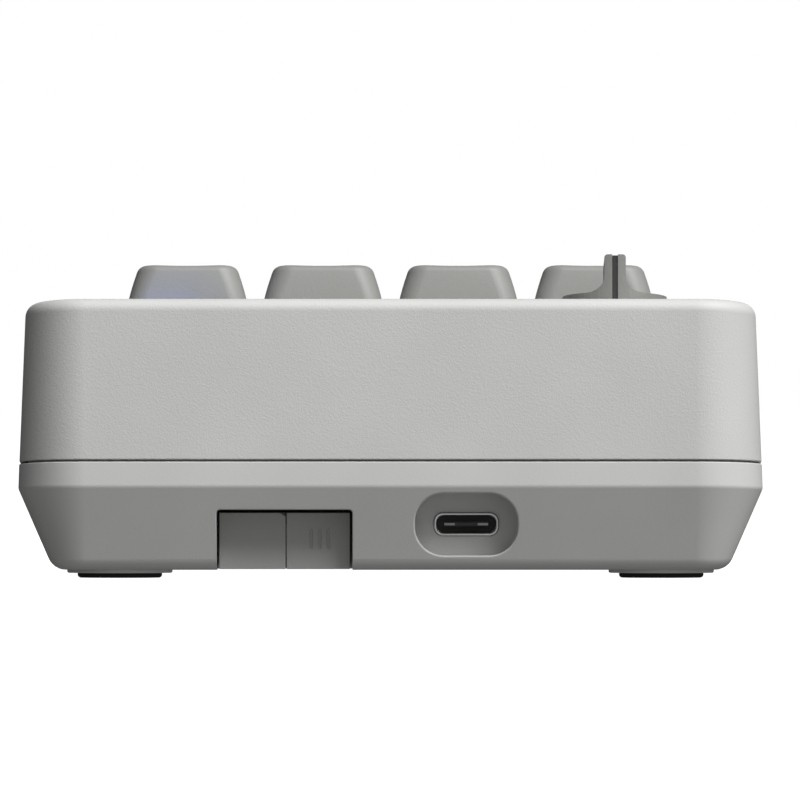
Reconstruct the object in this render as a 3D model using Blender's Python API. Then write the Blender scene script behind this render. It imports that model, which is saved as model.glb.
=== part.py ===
"""Numeric keypad with mechanical keys, a rotary mode selector and a stored wireless receiver.

Metres, +Z up, +X to the user's right, +Y towards the back. The origin is the middle of the footprint
on the surface that the rubber feet stand on. Keys, selector and boards lie in the deck's own frame,
which is tilted by the typing angle: u runs along X, v up the deck's slope and w out of the deck.
"""

import math

import bmesh
import bpy
from mathutils import Matrix, Vector

MM = 0.001
GAP = 0.3 * MM

# Driving dimensions of the case
WIDTH = 103.75 * MM
DEPTH = 140.0 * MM
RIM_HEIGHT = 39.05 * MM
TYPING_ANGLE = math.radians(6.0)
CORNER_RADIUS = 9.4 * MM
WALL = 2.4 * MM
PARTING_HEIGHT = 16.4 * MM
PARTING_SLOPE = math.tan(math.radians(2.5))
CHAMFER_DROP = 3.6 * MM
CHAMFER_ANGLE = math.radians(23.5)
CHAMFER_TAPER = math.tan(CHAMFER_ANGLE)
CASE_BOTTOM = 1.15 * MM
BOTTOM_FILLET = 2.6 * MM
UPPER_STEP = 0.15 * MM
LOWER_STEP = 0.1 * MM
RIM_INSET = 0.97 * MM
RIM_FILLET = 1.9 * MM
LIP_INSET = 1.3 * MM
LIP_HEIGHT = 1.2 * MM
CORNER_STEPS = 5
FILLET_STEPS = 3

# Keys
PITCH = 19.05 * MM
COLUMNS = 4
ROWS = 5
REAR_STRIP = 30.0 * MM
CAP_BASE = 18.2 * MM
CAP_SKIRT = 17.3 * MM
CAP_TOP_WIDTH = 13.9 * MM
CAP_TOP_DEPTH = 14.2 * MM
CAP_TOP_SHIFT = 0.9 * MM
CAP_BOTTOM = -1.0 * MM
CAP_SKIRT_LEVEL = 1.6 * MM
CAP_WALL = 1.4 * MM
CAP_EDGE = 1.2 * MM
CAP_CORNER = 2.6 * MM
CAP_TOPS = [7.93 * MM, 6.9 * MM, 6.5 * MM, 6.8 * MM, 7.1 * MM]
CAP_TILTS = [3.0, 1.0, -1.5, -5.0, -7.0]
WELL_CLEARANCE = 0.9 * MM
KEYS = [
    # name, column and row of its middle, width and depth in key units
    ("num_lock", 0, 0, 1, 1),
    ("divide", 1, 0, 1, 1),
    ("multiply", 2, 0, 1, 1),
    ("minus", 3, 0, 1, 1),
    ("digit_7", 0, 1, 1, 1),
    ("digit_8", 1, 1, 1, 1),
    ("digit_9", 2, 1, 1, 1),
    ("plus", 3, 1.5, 1, 2),
    ("digit_4", 0, 2, 1, 1),
    ("digit_5", 1, 2, 1, 1),
    ("digit_6", 2, 2, 1, 1),
    ("digit_1", 0, 3, 1, 1),
    ("digit_2", 1, 3, 1, 1),
    ("digit_3", 2, 3, 1, 1),
    ("enter", 3, 3.5, 1, 2),
    ("digit_0", 0.5, 4, 2, 1),
    ("decimal", 2, 4, 1, 1),
]

# Switches, plate and boards, as heights w above the deck
PLATE_TOP = -6.5 * MM
PLATE_THICKNESS = 1.5 * MM
SWITCH_BODY = 14.0 * MM
SWITCH_BOTTOM = -11.5 * MM
SWITCH_FLANGE = 15.6 * MM
SWITCH_TOP = 0.1 * MM
SWITCH_TOP_SIZE = 11.0 * MM
SWITCH_HOLE = (7.6 * MM, 6.0 * MM)
SWITCH_HOLE_FLOOR = -11.0 * MM
STEM_SLIDER = (7.0 * MM, 5.4 * MM)
STEM_CROSS = (3.9 * MM, 1.2 * MM)
STEM_PIN = 2.4 * MM
POST_RADIUS = 2.6 * MM
POST_BOTTOM = 0.5 * MM
POST_HOLE = 4.5 * MM
BOARD_TOP = SWITCH_BOTTOM - GAP
BOARD_THICKNESS = 1.6 * MM
BOARD_WIDTH = 79.0 * MM
PAD_THICKNESS = 2.0 * MM

# Selector knob and status light in the strip behind the keys
KNOB_X = -31.3 * MM
KNOB_RADIUS = 7.3 * MM
KNOB_BOTTOM = -0.5 * MM
KNOB_TOP = 1.65 * MM
KNOB_POCKET = 0.8 * MM
GRIP_WIDTH = 3.0 * MM
GRIP_TOP = 6.95 * MM
GRIP_EDGE = 0.4 * MM
FLARE_REACH = 2.7 * MM
FLARE_HEIGHT = 2.15 * MM
SLOT_WIDTH = 0.8 * MM
SLOT_DEPTH = 0.35 * MM
SLOT_START = 2.5 * MM
SHAFT_RADIUS = 2.0 * MM
LIGHT_X = 31.0 * MM
LIGHT_GAP = 3.2 * MM
LIGHT_SIZE = (7.6 * MM, 2.8 * MM)

# Back: socket recess, socket and receiver bay
BACK_FACE = 62.6 * MM
SOCKET_X = -10.55 * MM
SOCKET_HEIGHT = 7.5 * MM
SHELL_SIZE = (8.94 * MM, 3.16 * MM)
SHELL_CORNER = 1.2 * MM
SHELL_LENGTH = 7.9 * MM
SHELL_WALL = 0.3 * MM
RECESS_SIZE = (14.3 * MM, 8.7 * MM)
RECESS_HEIGHT = 7.5 * MM
RECESS_CORNER = 4.0 * MM
BAY_LEFT = 5.3 * MM
BAY_RIGHT = 24.2 * MM
BAY_SEAM = 14.55 * MM
BAY_TOP = 9.55 * MM
BAY_DEPTH = 17.0 * MM
RECEIVER_BOTTOM = 1.25 * MM

# Feet and screws
FOOT_X = 37.8 * MM
FOOT_Y = 55.9 * MM
BOSS_RADIUS = 7.35 * MM
BOSS_DROP = 0.4 * MM
PAD_RADIUS = 5.9 * MM
SCREW_X = 43.2 * MM
SCREW_Y = 38.0 * MM
SCREW_BOSS = 3.3 * MM
SCREW_RADIUS = 1.3 * MM
HEAD_RADIUS = 2.6 * MM
HEAD_TOP = 3.4 * MM
SCREW_TIP = 17.5 * MM
FOOT_TOP = 2.0 * MM
CORNER_NAMES = ["front_left", "rear_left", "front_right", "rear_right"]

# Filled by main()
MATERIALS = {}

HALF_WIDTH = WIDTH / 2
HALF_DEPTH = DEPTH / 2
RIM_BACK = HALF_DEPTH - RIM_INSET
DECK_HEIGHT = RIM_HEIGHT - RIM_BACK * math.tan(TYPING_ANGLE)
DECK_REACH = RIM_BACK / math.cos(TYPING_ANGLE)
FIELD_BACK = DECK_REACH - REAR_STRIP
FIELD_MIDDLE = FIELD_BACK - ROWS * PITCH / 2
STRIP_MIDDLE = FIELD_BACK + REAR_STRIP / 2
LIGHT_V = FIELD_BACK + LIGHT_GAP
INNER_FLOOR = CASE_BOTTOM + 2.2 * MM


def clear_scene():
    for obj in list(bpy.data.objects):
        bpy.data.objects.remove(obj)


def material(name, colour, roughness, metallic=0.0, alpha=1.0):
    made = bpy.data.materials.new(name)
    made.use_nodes = True
    shader = made.node_tree.nodes["Principled BSDF"]
    shader.inputs["Base Color"].default_value = (*colour, 1)
    shader.inputs["Roughness"].default_value = roughness
    shader.inputs["Metallic"].default_value = metallic
    shader.inputs["Alpha"].default_value = alpha
    return made


# Heights of the case's sloping levels


def deck_level(y):
    return DECK_HEIGHT + y * math.tan(TYPING_ANGLE)


def parting_level(y):
    return PARTING_HEIGHT - (HALF_DEPTH - y) * PARTING_SLOPE


def chamfer_level(y):
    return parting_level(y) - CHAMFER_DROP


# Mesh building


def rounded_outline(half_x, half_y, radius, steps=CORNER_STEPS):
    """Points of a rounded rectangle, each with its outward direction, anticlockwise."""
    points = []
    for quarter in range(4):
        sign_x = (1, -1, -1, 1)[quarter]
        sign_y = (1, 1, -1, -1)[quarter]
        centre = Vector((sign_x * (half_x - radius), sign_y * (half_y - radius)))
        for step in range(steps + 1):
            angle = (quarter + step / steps) * math.pi / 2
            outward = Vector((math.cos(angle), math.sin(angle)))
            points.append((centre + radius * outward, outward))
    return points


def case_ring(inset, height):
    """One ring round the case: inset and height are functions of y."""
    ring = []
    for point, outward in rounded_outline(HALF_WIDTH, HALF_DEPTH, CORNER_RADIUS):
        moved = point - inset(point.y) * outward
        ring.append(Vector((moved.x, moved.y, height(moved.y))))
    return ring


def box_ring(size_x, size_y, height, corner, middle=(0, 0), tilt=0.0, steps=2):
    """A rounded rectangle at one height, tilted about the X direction through its middle."""
    ring = []
    for point, _ in rounded_outline(size_x / 2, size_y / 2, corner, steps):
        rise = height + point.y * math.tan(tilt)
        ring.append(Vector((middle[0] + point.x, middle[1] + point.y, rise)))
    return ring


def circle_ring(radius, height, middle=(0, 0), steps=24):
    angles = [2 * math.pi * step / steps for step in range(steps)]
    return [
        Vector((middle[0] + radius * math.cos(a), middle[1] + radius * math.sin(a), height)) for a in angles
    ]


def loft(name, rings):
    """A closed mesh through rings of equal length, in order, with its first and last ring filled."""
    shape = bmesh.new()
    loops = [[shape.verts.new(point) for point in ring] for ring in rings]
    count = len(loops[0])
    for lower, upper in zip(loops, loops[1:]):
        for i in range(count):
            j = (i + 1) % count
            shape.faces.new((lower[i], lower[j], upper[j], upper[i]))
    shape.faces.new(reversed(loops[0]))
    shape.faces.new(loops[-1])
    bmesh.ops.recalc_face_normals(shape, faces=shape.faces)
    mesh = bpy.data.meshes.new(name)
    shape.to_mesh(mesh)
    shape.free()
    return mesh


def rectangle(size_x, size_y, height, middle):
    corners = [(-0.5, -0.5), (0.5, -0.5), (0.5, 0.5), (-0.5, 0.5)]
    return [Vector((middle[0] + a * size_x, middle[1] + b * size_y, height)) for a, b in corners]


def box_mesh(name, low, high):
    middle = ((low[0] + high[0]) / 2, (low[1] + high[1]) / 2)
    size_x, size_y = high[0] - low[0], high[1] - low[1]
    return loft(name, [rectangle(size_x, size_y, height, middle) for height in (low[2], high[2])])


def cylinder_mesh(name, radius, bottom, top, middle=(0, 0), steps=24):
    return loft(name, [circle_ring(radius, bottom, middle, steps), circle_ring(radius, top, middle, steps)])


def joined(name, meshes):
    """One mesh that holds several separate bodies, as a single cutter or addition."""
    whole = bmesh.new()
    for mesh in meshes:
        whole.from_mesh(mesh)
    made = bpy.data.meshes.new(name)
    whole.to_mesh(made)
    whole.free()
    return made


def moved(mesh, matrix):
    mesh.transform(matrix)
    return mesh


def deck_matrix():
    return Matrix.Translation((0, 0, DECK_HEIGHT)) @ Matrix.Rotation(TYPING_ANGLE, 4, "X")


def part(name, mesh, finish, parent=None, location=(0, 0, 0)):
    obj = bpy.data.objects.new(name, mesh)
    bpy.context.scene.collection.objects.link(obj)
    if not mesh.materials:
        mesh.materials.append(finish)
    obj.parent = parent
    obj.location = location
    return obj


def boolean(obj, mesh, operation):
    """Adds or cuts a mesh given in the object's own coordinates."""
    helper = part(f"{obj.name}_{operation.lower()}_{len(obj.modifiers)}", mesh, obj.data.materials[0], obj)
    helper.hide_render = True
    helper.display_type = "WIRE"
    modifier = obj.modifiers.new(helper.name, "BOOLEAN")
    modifier.operation = operation
    modifier.solver = "EXACT"
    modifier.object = helper


def smooth(obj, angle=35):
    obj.data.shade_smooth()
    obj.data.set_sharp_from_angle(angle=math.radians(angle))


# Case


def upper_rings(inset, lowest, top_drop):
    """Rings of the upper shell's body, offset inwards by inset, from lowest to the deck less top_drop."""
    fillet = max(RIM_FILLET - inset, 0.4 * MM)
    rings = [case_ring(lambda y: UPPER_STEP + inset, lowest)]
    for step in range(FILLET_STEPS + 1):
        turn = step / FILLET_STEPS * math.pi / 2
        drop = top_drop + fillet * (1 - math.sin(turn))
        inward = RIM_INSET + inset + fillet * (1 - math.cos(turn))
        rings.append(case_ring(lambda y, d=inward: d, lambda y, d=drop: deck_level(y) - d))
    return rings


def build_upper_case(finish):
    outer = loft("upper_case", upper_rings(0, lambda y: parting_level(y) + GAP / 2, 0))
    shell = part("upper_case", outer, finish)
    lip_way = LIP_INSET - GAP
    lip_top = LIP_HEIGHT + GAP
    hollow = [
        case_ring(lambda y: lip_way, lambda y: parting_level(y) - WALL),
        case_ring(lambda y: lip_way, lambda y: parting_level(y) + lip_top),
        *upper_rings(WALL, lambda y: parting_level(y) + lip_top, WALL),
    ]
    boolean(shell, loft("upper_hollow", hollow), "DIFFERENCE")
    well = [count * PITCH - (PITCH - CAP_BASE) + WELL_CLEARANCE for count in (COLUMNS, ROWS)]
    collar_wall = 1.5 * MM
    middle = (0, FIELD_MIDDLE)
    collar = [
        box_ring(well[0] + 2 * collar_wall, well[1] + 2 * collar_wall, height, 2 * MM, middle)
        for height in (PLATE_TOP + GAP, -WALL / 2)
    ]
    boolean(shell, moved(loft("well_collar", collar), deck_matrix()), "UNION")
    bosses = [
        cylinder_mesh(
            "screw_boss",
            SCREW_BOSS,
            parting_level(y + SCREW_BOSS) + GAP,
            deck_level(y) - WALL / 2,
            (x, y),
            16,
        )
        for x, y in corner_places(SCREW_X, SCREW_Y)
    ]
    boolean(shell, joined("screw_bosses", bosses), "UNION")
    opening = [box_ring(well[0], well[1], height, 1.2 * MM, middle) for height in (-12 * MM, 4 * MM)]
    knob_place = (KNOB_X, STRIP_MIDDLE)
    pocket = cylinder_mesh("knob_pocket", KNOB_RADIUS + 0.4 * MM, -KNOB_POCKET, 4 * MM, knob_place, 40)
    shaft_hole = cylinder_mesh("shaft_hole", SHAFT_RADIUS + GAP, -6 * MM, 1 * MM, knob_place)
    light_size = [side + 2 * GAP for side in LIGHT_SIZE]
    light_hole = stadium_mesh("light_hole", *light_size, -6 * MM, 4 * MM)
    light_hole.transform(Matrix.Translation((LIGHT_X, LIGHT_V, 0)))
    knob_cut = united("knob_cut", pocket, shaft_hole)
    cutters = joined("deck_cutters", [loft("well", opening), knob_cut, light_hole])
    boolean(shell, moved(cutters, deck_matrix()), "DIFFERENCE")
    pilots = [
        cylinder_mesh("pilot_hole", SCREW_RADIUS + GAP, 0, SCREW_TIP + GAP, place, 12)
        for place in corner_places(SCREW_X, SCREW_Y)
    ]
    boolean(shell, joined("pilot_holes", pilots), "DIFFERENCE")
    smooth(shell)


def build_lower_case(finish):
    def taper_inset(y, height):
        return (chamfer_level(y) - height) * CHAMFER_TAPER

    tangent = CASE_BOTTOM + BOTTOM_FILLET * (1 - math.sin(CHAMFER_ANGLE))
    outer_rings = []
    for step in range(4):
        turn = -math.pi / 2 + step / 3 * (math.pi / 2 - CHAMFER_ANGLE)
        inward = BOTTOM_FILLET * (math.cos(CHAMFER_ANGLE) - math.cos(turn))
        level = CASE_BOTTOM + BOTTOM_FILLET * (1 + math.sin(turn))
        outer_rings.append(case_ring(lambda y, i=inward: taper_inset(y, tangent) + i, lambda y, z=level: z))
    outer_rings += [
        case_ring(lambda y: 0.15 * MM, lambda y: chamfer_level(y) - 0.34 * MM),
        case_ring(lambda y: 0, lambda y: chamfer_level(y) + 0.3 * MM),
        case_ring(lambda y: LOWER_STEP, lambda y: parting_level(y) - GAP / 2),
    ]
    shell = part("lower_case", loft("lower_case", outer_rings), finish)
    lip = [case_ring(lambda y: LIP_INSET, lambda y, d=d: parting_level(y) + d) for d in (-WALL, LIP_HEIGHT)]
    boolean(shell, loft("lip", lip), "UNION")
    inner_rings = [
        case_ring(lambda y: taper_inset(y, INNER_FLOOR) + WALL, lambda y: INNER_FLOOR),
        case_ring(lambda y: 0.15 * MM + WALL, lambda y: chamfer_level(y) - 0.34 * MM),
        case_ring(lambda y: WALL, lambda y: parting_level(y) + WALL),
    ]
    boolean(shell, loft("lower_hollow", inner_rings), "DIFFERENCE")
    boolean(shell, joined("lower_additions", lower_additions()), "UNION")
    boolean(shell, joined("lower_cuts", lower_cuts()), "DIFFERENCE")
    smooth(shell)


def lower_additions():
    bosses = [
        cylinder_mesh(
            "screw_post", SCREW_BOSS, 2 * MM, parting_level(y - SCREW_BOSS) - GAP, (x, y), 16
        )
        for x, y in corner_places(SCREW_X, SCREW_Y)
    ]
    feet = [
        cylinder_mesh("foot_boss", BOSS_RADIUS, CASE_BOTTOM - BOSS_DROP, 2 * MM, place)
        for place in corner_places(FOOT_X, FOOT_Y)
    ]
    half = (1.2 * MM, 2.5 * MM)
    posts = [
        box_mesh("board_post", (x - half[0], y - half[1], 2 * MM), (x + half[0], y + half[1], post_top(y)))
        for x, y in corner_places(BOARD_WIDTH / 2 - 1.5 * MM, 18 * MM)
    ]
    wall = 1.2 * MM
    bay_front = BACK_FACE - BAY_DEPTH - wall
    bay = back_block("bay_walls", BAY_LEFT - wall, BAY_RIGHT + wall, bay_front, BAY_TOP + wall)
    reach = RECESS_SIZE[0] / 2 + wall
    backing_front = BACK_FACE - 1.6 * MM
    backing = back_block("socket_backing", SOCKET_X - reach, SOCKET_X + reach, backing_front, 13.2 * MM)
    return bosses + feet + posts + [bay, backing]


def back_block(name, left, right, front, top):
    """A block behind the tapering back wall, with its back inside the wall and as steep as the wall."""
    rings = []
    for height in (2 * MM, top):
        back = HALF_DEPTH - (chamfer_level(HALF_DEPTH) - height) * CHAMFER_TAPER - 0.6 * MM
        corners = [(left, front), (right, front), (right, back), (left, back)]
        rings.append([Vector((x, y, height)) for x, y in corners])
    return loft(name, rings)


def post_top(y):
    """Just under the main board, with the slope across the post allowed for."""
    under = BOARD_TOP - BOARD_THICKNESS - GAP
    return deck_level(y - 3 * MM) + under / math.cos(TYPING_ANGLE)


def lower_cuts():
    recess = stadium_mesh("socket_recess", RECESS_SIZE[0], RECESS_SIZE[1], 0, 12 * MM, RECESS_CORNER)
    recess.transform(facing_back(SOCKET_X, BACK_FACE, RECESS_HEIGHT))
    throat_size = [side + 2 * GAP for side in SHELL_SIZE]
    throat = stadium_mesh("socket_hole", *throat_size, -6 * MM, 2 * MM, SHELL_CORNER + GAP)
    throat.transform(facing_back(SOCKET_X, BACK_FACE, SOCKET_HEIGHT))
    bay_front = BACK_FACE - BAY_DEPTH
    bay = box_mesh("bay", (BAY_LEFT, bay_front, -2 * MM), (BAY_RIGHT, HALF_DEPTH + 5 * MM, BAY_TOP))
    shanks = [
        cylinder_mesh("screw_way", SCREW_RADIUS + GAP, 0, 30 * MM, place, 12)
        for place in corner_places(SCREW_X, SCREW_Y)
    ]
    heads = [
        cylinder_mesh("head_way", HEAD_RADIUS + GAP, 0, HEAD_TOP + GAP, place, 16)
        for place in corner_places(SCREW_X, SCREW_Y)
    ]
    pockets = [
        cylinder_mesh("foot_pocket", PAD_RADIUS + GAP, 0, FOOT_TOP + GAP, place)
        for place in corner_places(FOOT_X, FOOT_Y)
    ]
    merged = [united("screw_ways", shank, head) for shank, head in zip(shanks, heads)]
    return [united("socket_cut", recess, throat), bay] + merged + pockets


def united(name, first, second):
    """The union of two overlapping meshes, as a mesh."""
    base = part(name, first, MATERIALS["case"])
    boolean(base, second, "UNION")
    bpy.context.view_layer.update()
    graph = bpy.context.evaluated_depsgraph_get()
    made = bpy.data.meshes.new_from_object(base.evaluated_get(graph))
    for obj in [*base.children, base]:
        bpy.data.objects.remove(obj)
    return made


def stadium_mesh(name, size_x, size_y, low, high, corner=None):
    """An upright bar whose section is a rounded rectangle, with fully round ends by default."""
    radius = 0.4999 * min(size_x, size_y) if corner is None else corner
    return loft(name, [box_ring(size_x, size_y, height, radius, steps=6) for height in (low, high)])


def facing_back(x, y, z):
    """Turns a bar built along +Z so that it points along +Y from a place on the back."""
    return Matrix.Translation((x, y, z)) @ Matrix.Rotation(math.radians(-90), 4, "X")


def corner_places(x, y):
    return [(sx * x, sy * y) for sx in (-1, 1) for sy in (-1, 1)]


def build_screws(finish):
    for (x, y), corner in zip(corner_places(SCREW_X, SCREW_Y), CORNER_NAMES):
        rings = [
            circle_ring(HEAD_RADIUS, CASE_BOTTOM + 0.5 * MM, steps=16),
            circle_ring(HEAD_RADIUS, HEAD_TOP, steps=16),
            circle_ring(SCREW_RADIUS, HEAD_TOP, steps=16),
            circle_ring(SCREW_RADIUS, SCREW_TIP - 1 * MM, steps=16),
            circle_ring(0.4 * SCREW_RADIUS, SCREW_TIP, steps=16),
        ]
        screw = part(f"case_screw_{corner}", loft("case_screw", rings), finish, None, (x, y, 0))
        arms = [
            box_mesh("driver_slot", (-a, -b, 0), (a, b, CASE_BOTTOM + 1.5 * MM))
            for a, b in ((1.5 * MM, 0.35 * MM), (0.35 * MM, 1.5 * MM))
        ]
        boolean(screw, united("driver_cross", *arms), "DIFFERENCE")
        smooth(screw)


def build_feet(finish):
    for (x, y), corner in zip(corner_places(FOOT_X, FOOT_Y), CORNER_NAMES):
        rings = [
            circle_ring(PAD_RADIUS - 0.5 * MM, 0),
            circle_ring(PAD_RADIUS, 0.5 * MM),
            circle_ring(PAD_RADIUS, FOOT_TOP),
        ]
        smooth(part(f"rubber_foot_{corner}", loft("rubber_foot", rings), finish, None, (x, y, 0)))


# Keys


def key_place(column, row):
    return ((column - (COLUMNS - 1) / 2) * PITCH, FIELD_BACK - (row + 0.5) * PITCH)


def cap_rings(units_x, units_y, row):
    """Rings down the inside of a keycap from its ceiling, and up its outside to its top."""
    extra_x = (units_x - 1) * PITCH
    extra_y = (units_y - 1) * PITCH
    top = CAP_TOPS[row]
    tilt = math.radians(CAP_TILTS[row])
    shift = (0, CAP_TOP_SHIFT)

    def ring(size_x, size_y, height, corner, middle, slope):
        return box_ring(size_x + extra_x, size_y + extra_y, height, corner, middle, slope)

    outside = [
        ring(CAP_BASE, CAP_BASE, CAP_BOTTOM, 2.2 * MM, (0, 0), 0),
        ring(CAP_SKIRT, CAP_SKIRT, CAP_SKIRT_LEVEL, 2.4 * MM, (0, 0.2 * MM), tilt / 4),
        ring(CAP_TOP_WIDTH + 0.6 * MM, CAP_TOP_DEPTH + 0.6 * MM, top - CAP_EDGE, CAP_CORNER, shift, tilt),
        ring(CAP_TOP_WIDTH - CAP_EDGE, CAP_TOP_DEPTH - CAP_EDGE, top, CAP_CORNER, shift, tilt),
    ]
    thin = 2 * CAP_WALL
    inside = [
        ring(CAP_TOP_WIDTH - thin, CAP_TOP_DEPTH - thin, top - 1.6 * MM, 1.2 * MM, shift, tilt),
        ring(CAP_SKIRT - thin, CAP_SKIRT - thin, CAP_SKIRT_LEVEL, 0.8 * MM, (0, 0.2 * MM), tilt / 4),
        ring(CAP_BASE - thin, CAP_BASE - thin, CAP_BOTTOM, 0.6 * MM, (0, 0), 0),
    ]
    return inside + outside


def build_keys(finishes, frame):
    """Each key is a hollow cap with a socket post, on its own switch stem."""
    for name, column, row, units_x, units_y in KEYS:
        u, v = key_place(column, row)
        profile = round(row + 0.01)
        shape = loft("keycap", cap_rings(units_x, units_y, profile))
        cap = part(f"keycap_{name}", shape, finishes["caps"], frame, (u, v, 0))
        ceiling = CAP_TOPS[profile] - 1.2 * MM
        boolean(cap, cylinder_mesh("socket_post", POST_RADIUS, POST_BOTTOM, ceiling, steps=12), "UNION")
        half = POST_HOLE / 2
        hole = box_mesh("cross_hole", (-half, -half, 0), (half, half, ceiling - 1 * MM))
        boolean(cap, hole, "DIFFERENCE")
        smooth(cap, 30)
        shape = stem_mesh(ceiling - 1 * MM - GAP)
        smooth(part(f"switch_stem_{name}", shape, finishes["stems"], frame, (u, v, 0)), 30)


def stem_mesh(top):
    """The switch's slider with a cross on top and a guide pin below."""
    slider_bottom = -4.5 * MM
    slider = box_mesh(
        "slider",
        (-STEM_SLIDER[0] / 2, -STEM_SLIDER[1] / 2, slider_bottom),
        (STEM_SLIDER[0] / 2, STEM_SLIDER[1] / 2, POST_BOTTOM - GAP),
    )
    half_pin = STEM_PIN / 2
    pin = box_mesh("pin", (-half_pin, -half_pin, -6.8 * MM), (half_pin, half_pin, slider_bottom + 1 * MM))
    arm, blade = STEM_CROSS[0] / 2, STEM_CROSS[1] / 2
    along = box_mesh("cross_along", (-arm, -blade, -1 * MM), (arm, blade, top))
    across = box_mesh("cross_across", (-blade, -arm, -1 * MM), (blade, arm, top))
    return united("stem", united("stem", slider, pin), united("cross", along, across))


def housing_mesh(place):
    """A switch housing: flanged box above the plate, box below it, and a blind hole for the stem."""
    return loft(
        "switch_housing",
        [
            rectangle(SWITCH_BODY, SWITCH_BODY, SWITCH_BOTTOM, place),
            rectangle(SWITCH_BODY, SWITCH_BODY, PLATE_TOP - PLATE_THICKNESS / 2, place),
            rectangle(SWITCH_FLANGE, SWITCH_FLANGE, PLATE_TOP - PLATE_THICKNESS / 2, place),
            rectangle(SWITCH_FLANGE, SWITCH_FLANGE, PLATE_TOP + 1 * MM, place),
            rectangle(SWITCH_TOP_SIZE, SWITCH_TOP_SIZE, SWITCH_TOP, place),
            rectangle(*SWITCH_HOLE, SWITCH_TOP, place),
            rectangle(*SWITCH_HOLE, SWITCH_HOLE_FLOOR, place),
        ],
    )


def build_switch_plate(finish, frame):
    size_x = COLUMNS * PITCH + 3 * MM
    size_y = ROWS * PITCH + 3 * MM
    middle = (0, FIELD_MIDDLE)
    levels = (PLATE_TOP - PLATE_THICKNESS, PLATE_TOP)
    rings = [box_ring(size_x, size_y, height, 2 * MM, middle) for height in levels]
    plate = part("switch_plate", loft("switch_plate", rings), finish, frame)
    places = [key_place(column, row) for _, column, row, _, _ in KEYS]
    cutout = SWITCH_BODY - 2 * MM
    span = (PLATE_TOP - 3 * MM, PLATE_TOP + 3 * MM)
    cuts = [loft("switch_cutout", [rectangle(cutout, cutout, w, place) for w in span]) for place in places]
    boolean(plate, joined("switch_cutouts", cuts), "DIFFERENCE")
    boolean(plate, joined("switch_housings", [housing_mesh(place) for place in places]), "UNION")


def build_boards(finishes, frame):
    board_back = STRIP_MIDDLE + 8 * MM
    front = FIELD_MIDDLE - ROWS * PITCH / 2 - 1 * MM
    size_y = board_back - front
    middle = (0, (board_back + front) / 2)
    levels = (BOARD_TOP - BOARD_THICKNESS, BOARD_TOP)
    board = [box_ring(BOARD_WIDTH, size_y, height, 2 * MM, middle) for height in levels]
    part("main_board", loft("main_board", board), finishes["board"], frame)
    pad_top = BOARD_TOP - BOARD_THICKNESS - GAP
    pad = [
        box_ring(BOARD_WIDTH - 8 * MM, ROWS * PITCH, height, 3 * MM, (0, FIELD_MIDDLE))
        for height in (pad_top - PAD_THICKNESS, pad_top)
    ]
    part("damping_pad", loft("damping_pad", pad), finishes["rubber"], frame)
    battery = [box_ring(50 * MM, 38 * MM, height, 2 * MM, (0, -12 * MM)) for height in (3.7 * MM, 10 * MM)]
    part("battery_pack", loft("battery_pack", battery), finishes["battery"])
    board_top = SOCKET_HEIGHT - SHELL_SIZE[1] / 2 - GAP
    front, back = BACK_FACE - 22 * MM, BACK_FACE - 2 * MM
    small = [
        box_ring(18 * MM, back - front, height, 1 * MM, (SOCKET_X, (front + back) / 2))
        for height in (board_top - 1.2 * MM, board_top)
    ]
    part("usb_board", loft("usb_board", small), finishes["board"])


def build_socket(finishes):
    """A shallow metal sleeve, open at the back of the case, with a tongue that fills its far end."""
    front = BACK_FACE - SHELL_LENGTH + 0.5 * MM
    width, height = SHELL_SIZE
    inner = (width - 2 * SHELL_WALL, height - 2 * SHELL_WALL)
    depth = SHELL_LENGTH - 0.6 * MM

    def ring(size, level):
        return box_ring(*size, level, SHELL_CORNER - (width - size[0]) / 2, steps=6)

    shell = loft(
        "usb_shell",
        [
            ring((width, height), 0),
            ring((width, height), SHELL_LENGTH),
            ring(inner, SHELL_LENGTH),
            ring(inner, SHELL_LENGTH - depth),
        ],
    )
    smooth(part("usb_shell", moved(shell, facing_back(SOCKET_X, front, SOCKET_HEIGHT)), finishes["metal"]))
    root_size = (inner[0] - 2 * GAP, inner[1] - 2 * GAP)
    tongue_size = (6.7 * MM, 0.7 * MM)
    root_top = 2.6 * MM
    tongue = loft(
        "usb_tongue",
        [
            box_ring(*root_size, 0.6 * MM + GAP, 0.3 * MM),
            box_ring(*root_size, root_top, 0.3 * MM),
            box_ring(*tongue_size, root_top, 0.2 * MM),
            box_ring(*tongue_size, SHELL_LENGTH - 1.2 * MM, 0.2 * MM),
        ],
    )
    part("usb_tongue", moved(tongue, facing_back(SOCKET_X, front, SOCKET_HEIGHT)), finishes["black"])


# Selector and status light


def knob_section():
    """Section across the knob: flat disc, hollow curves up from it and the straight-sided grip."""
    half = GRIP_WIDTH / 2
    side = [(half - GRIP_EDGE, GRIP_TOP), (half, GRIP_TOP - GRIP_EDGE)]
    for step in range(7):
        turn = step / 6 * math.pi / 2
        across = half + FLARE_REACH * (1 - math.cos(turn))
        side.append((across, KNOB_TOP + FLARE_HEIGHT * (1 - math.sin(turn))))
    side.append((KNOB_RADIUS + 1 * MM, KNOB_TOP))
    side.append((KNOB_RADIUS + 1 * MM, KNOB_BOTTOM))
    return [(-x, z) for x, z in side] + [(x, z) for x, z in reversed(side)]


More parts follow.
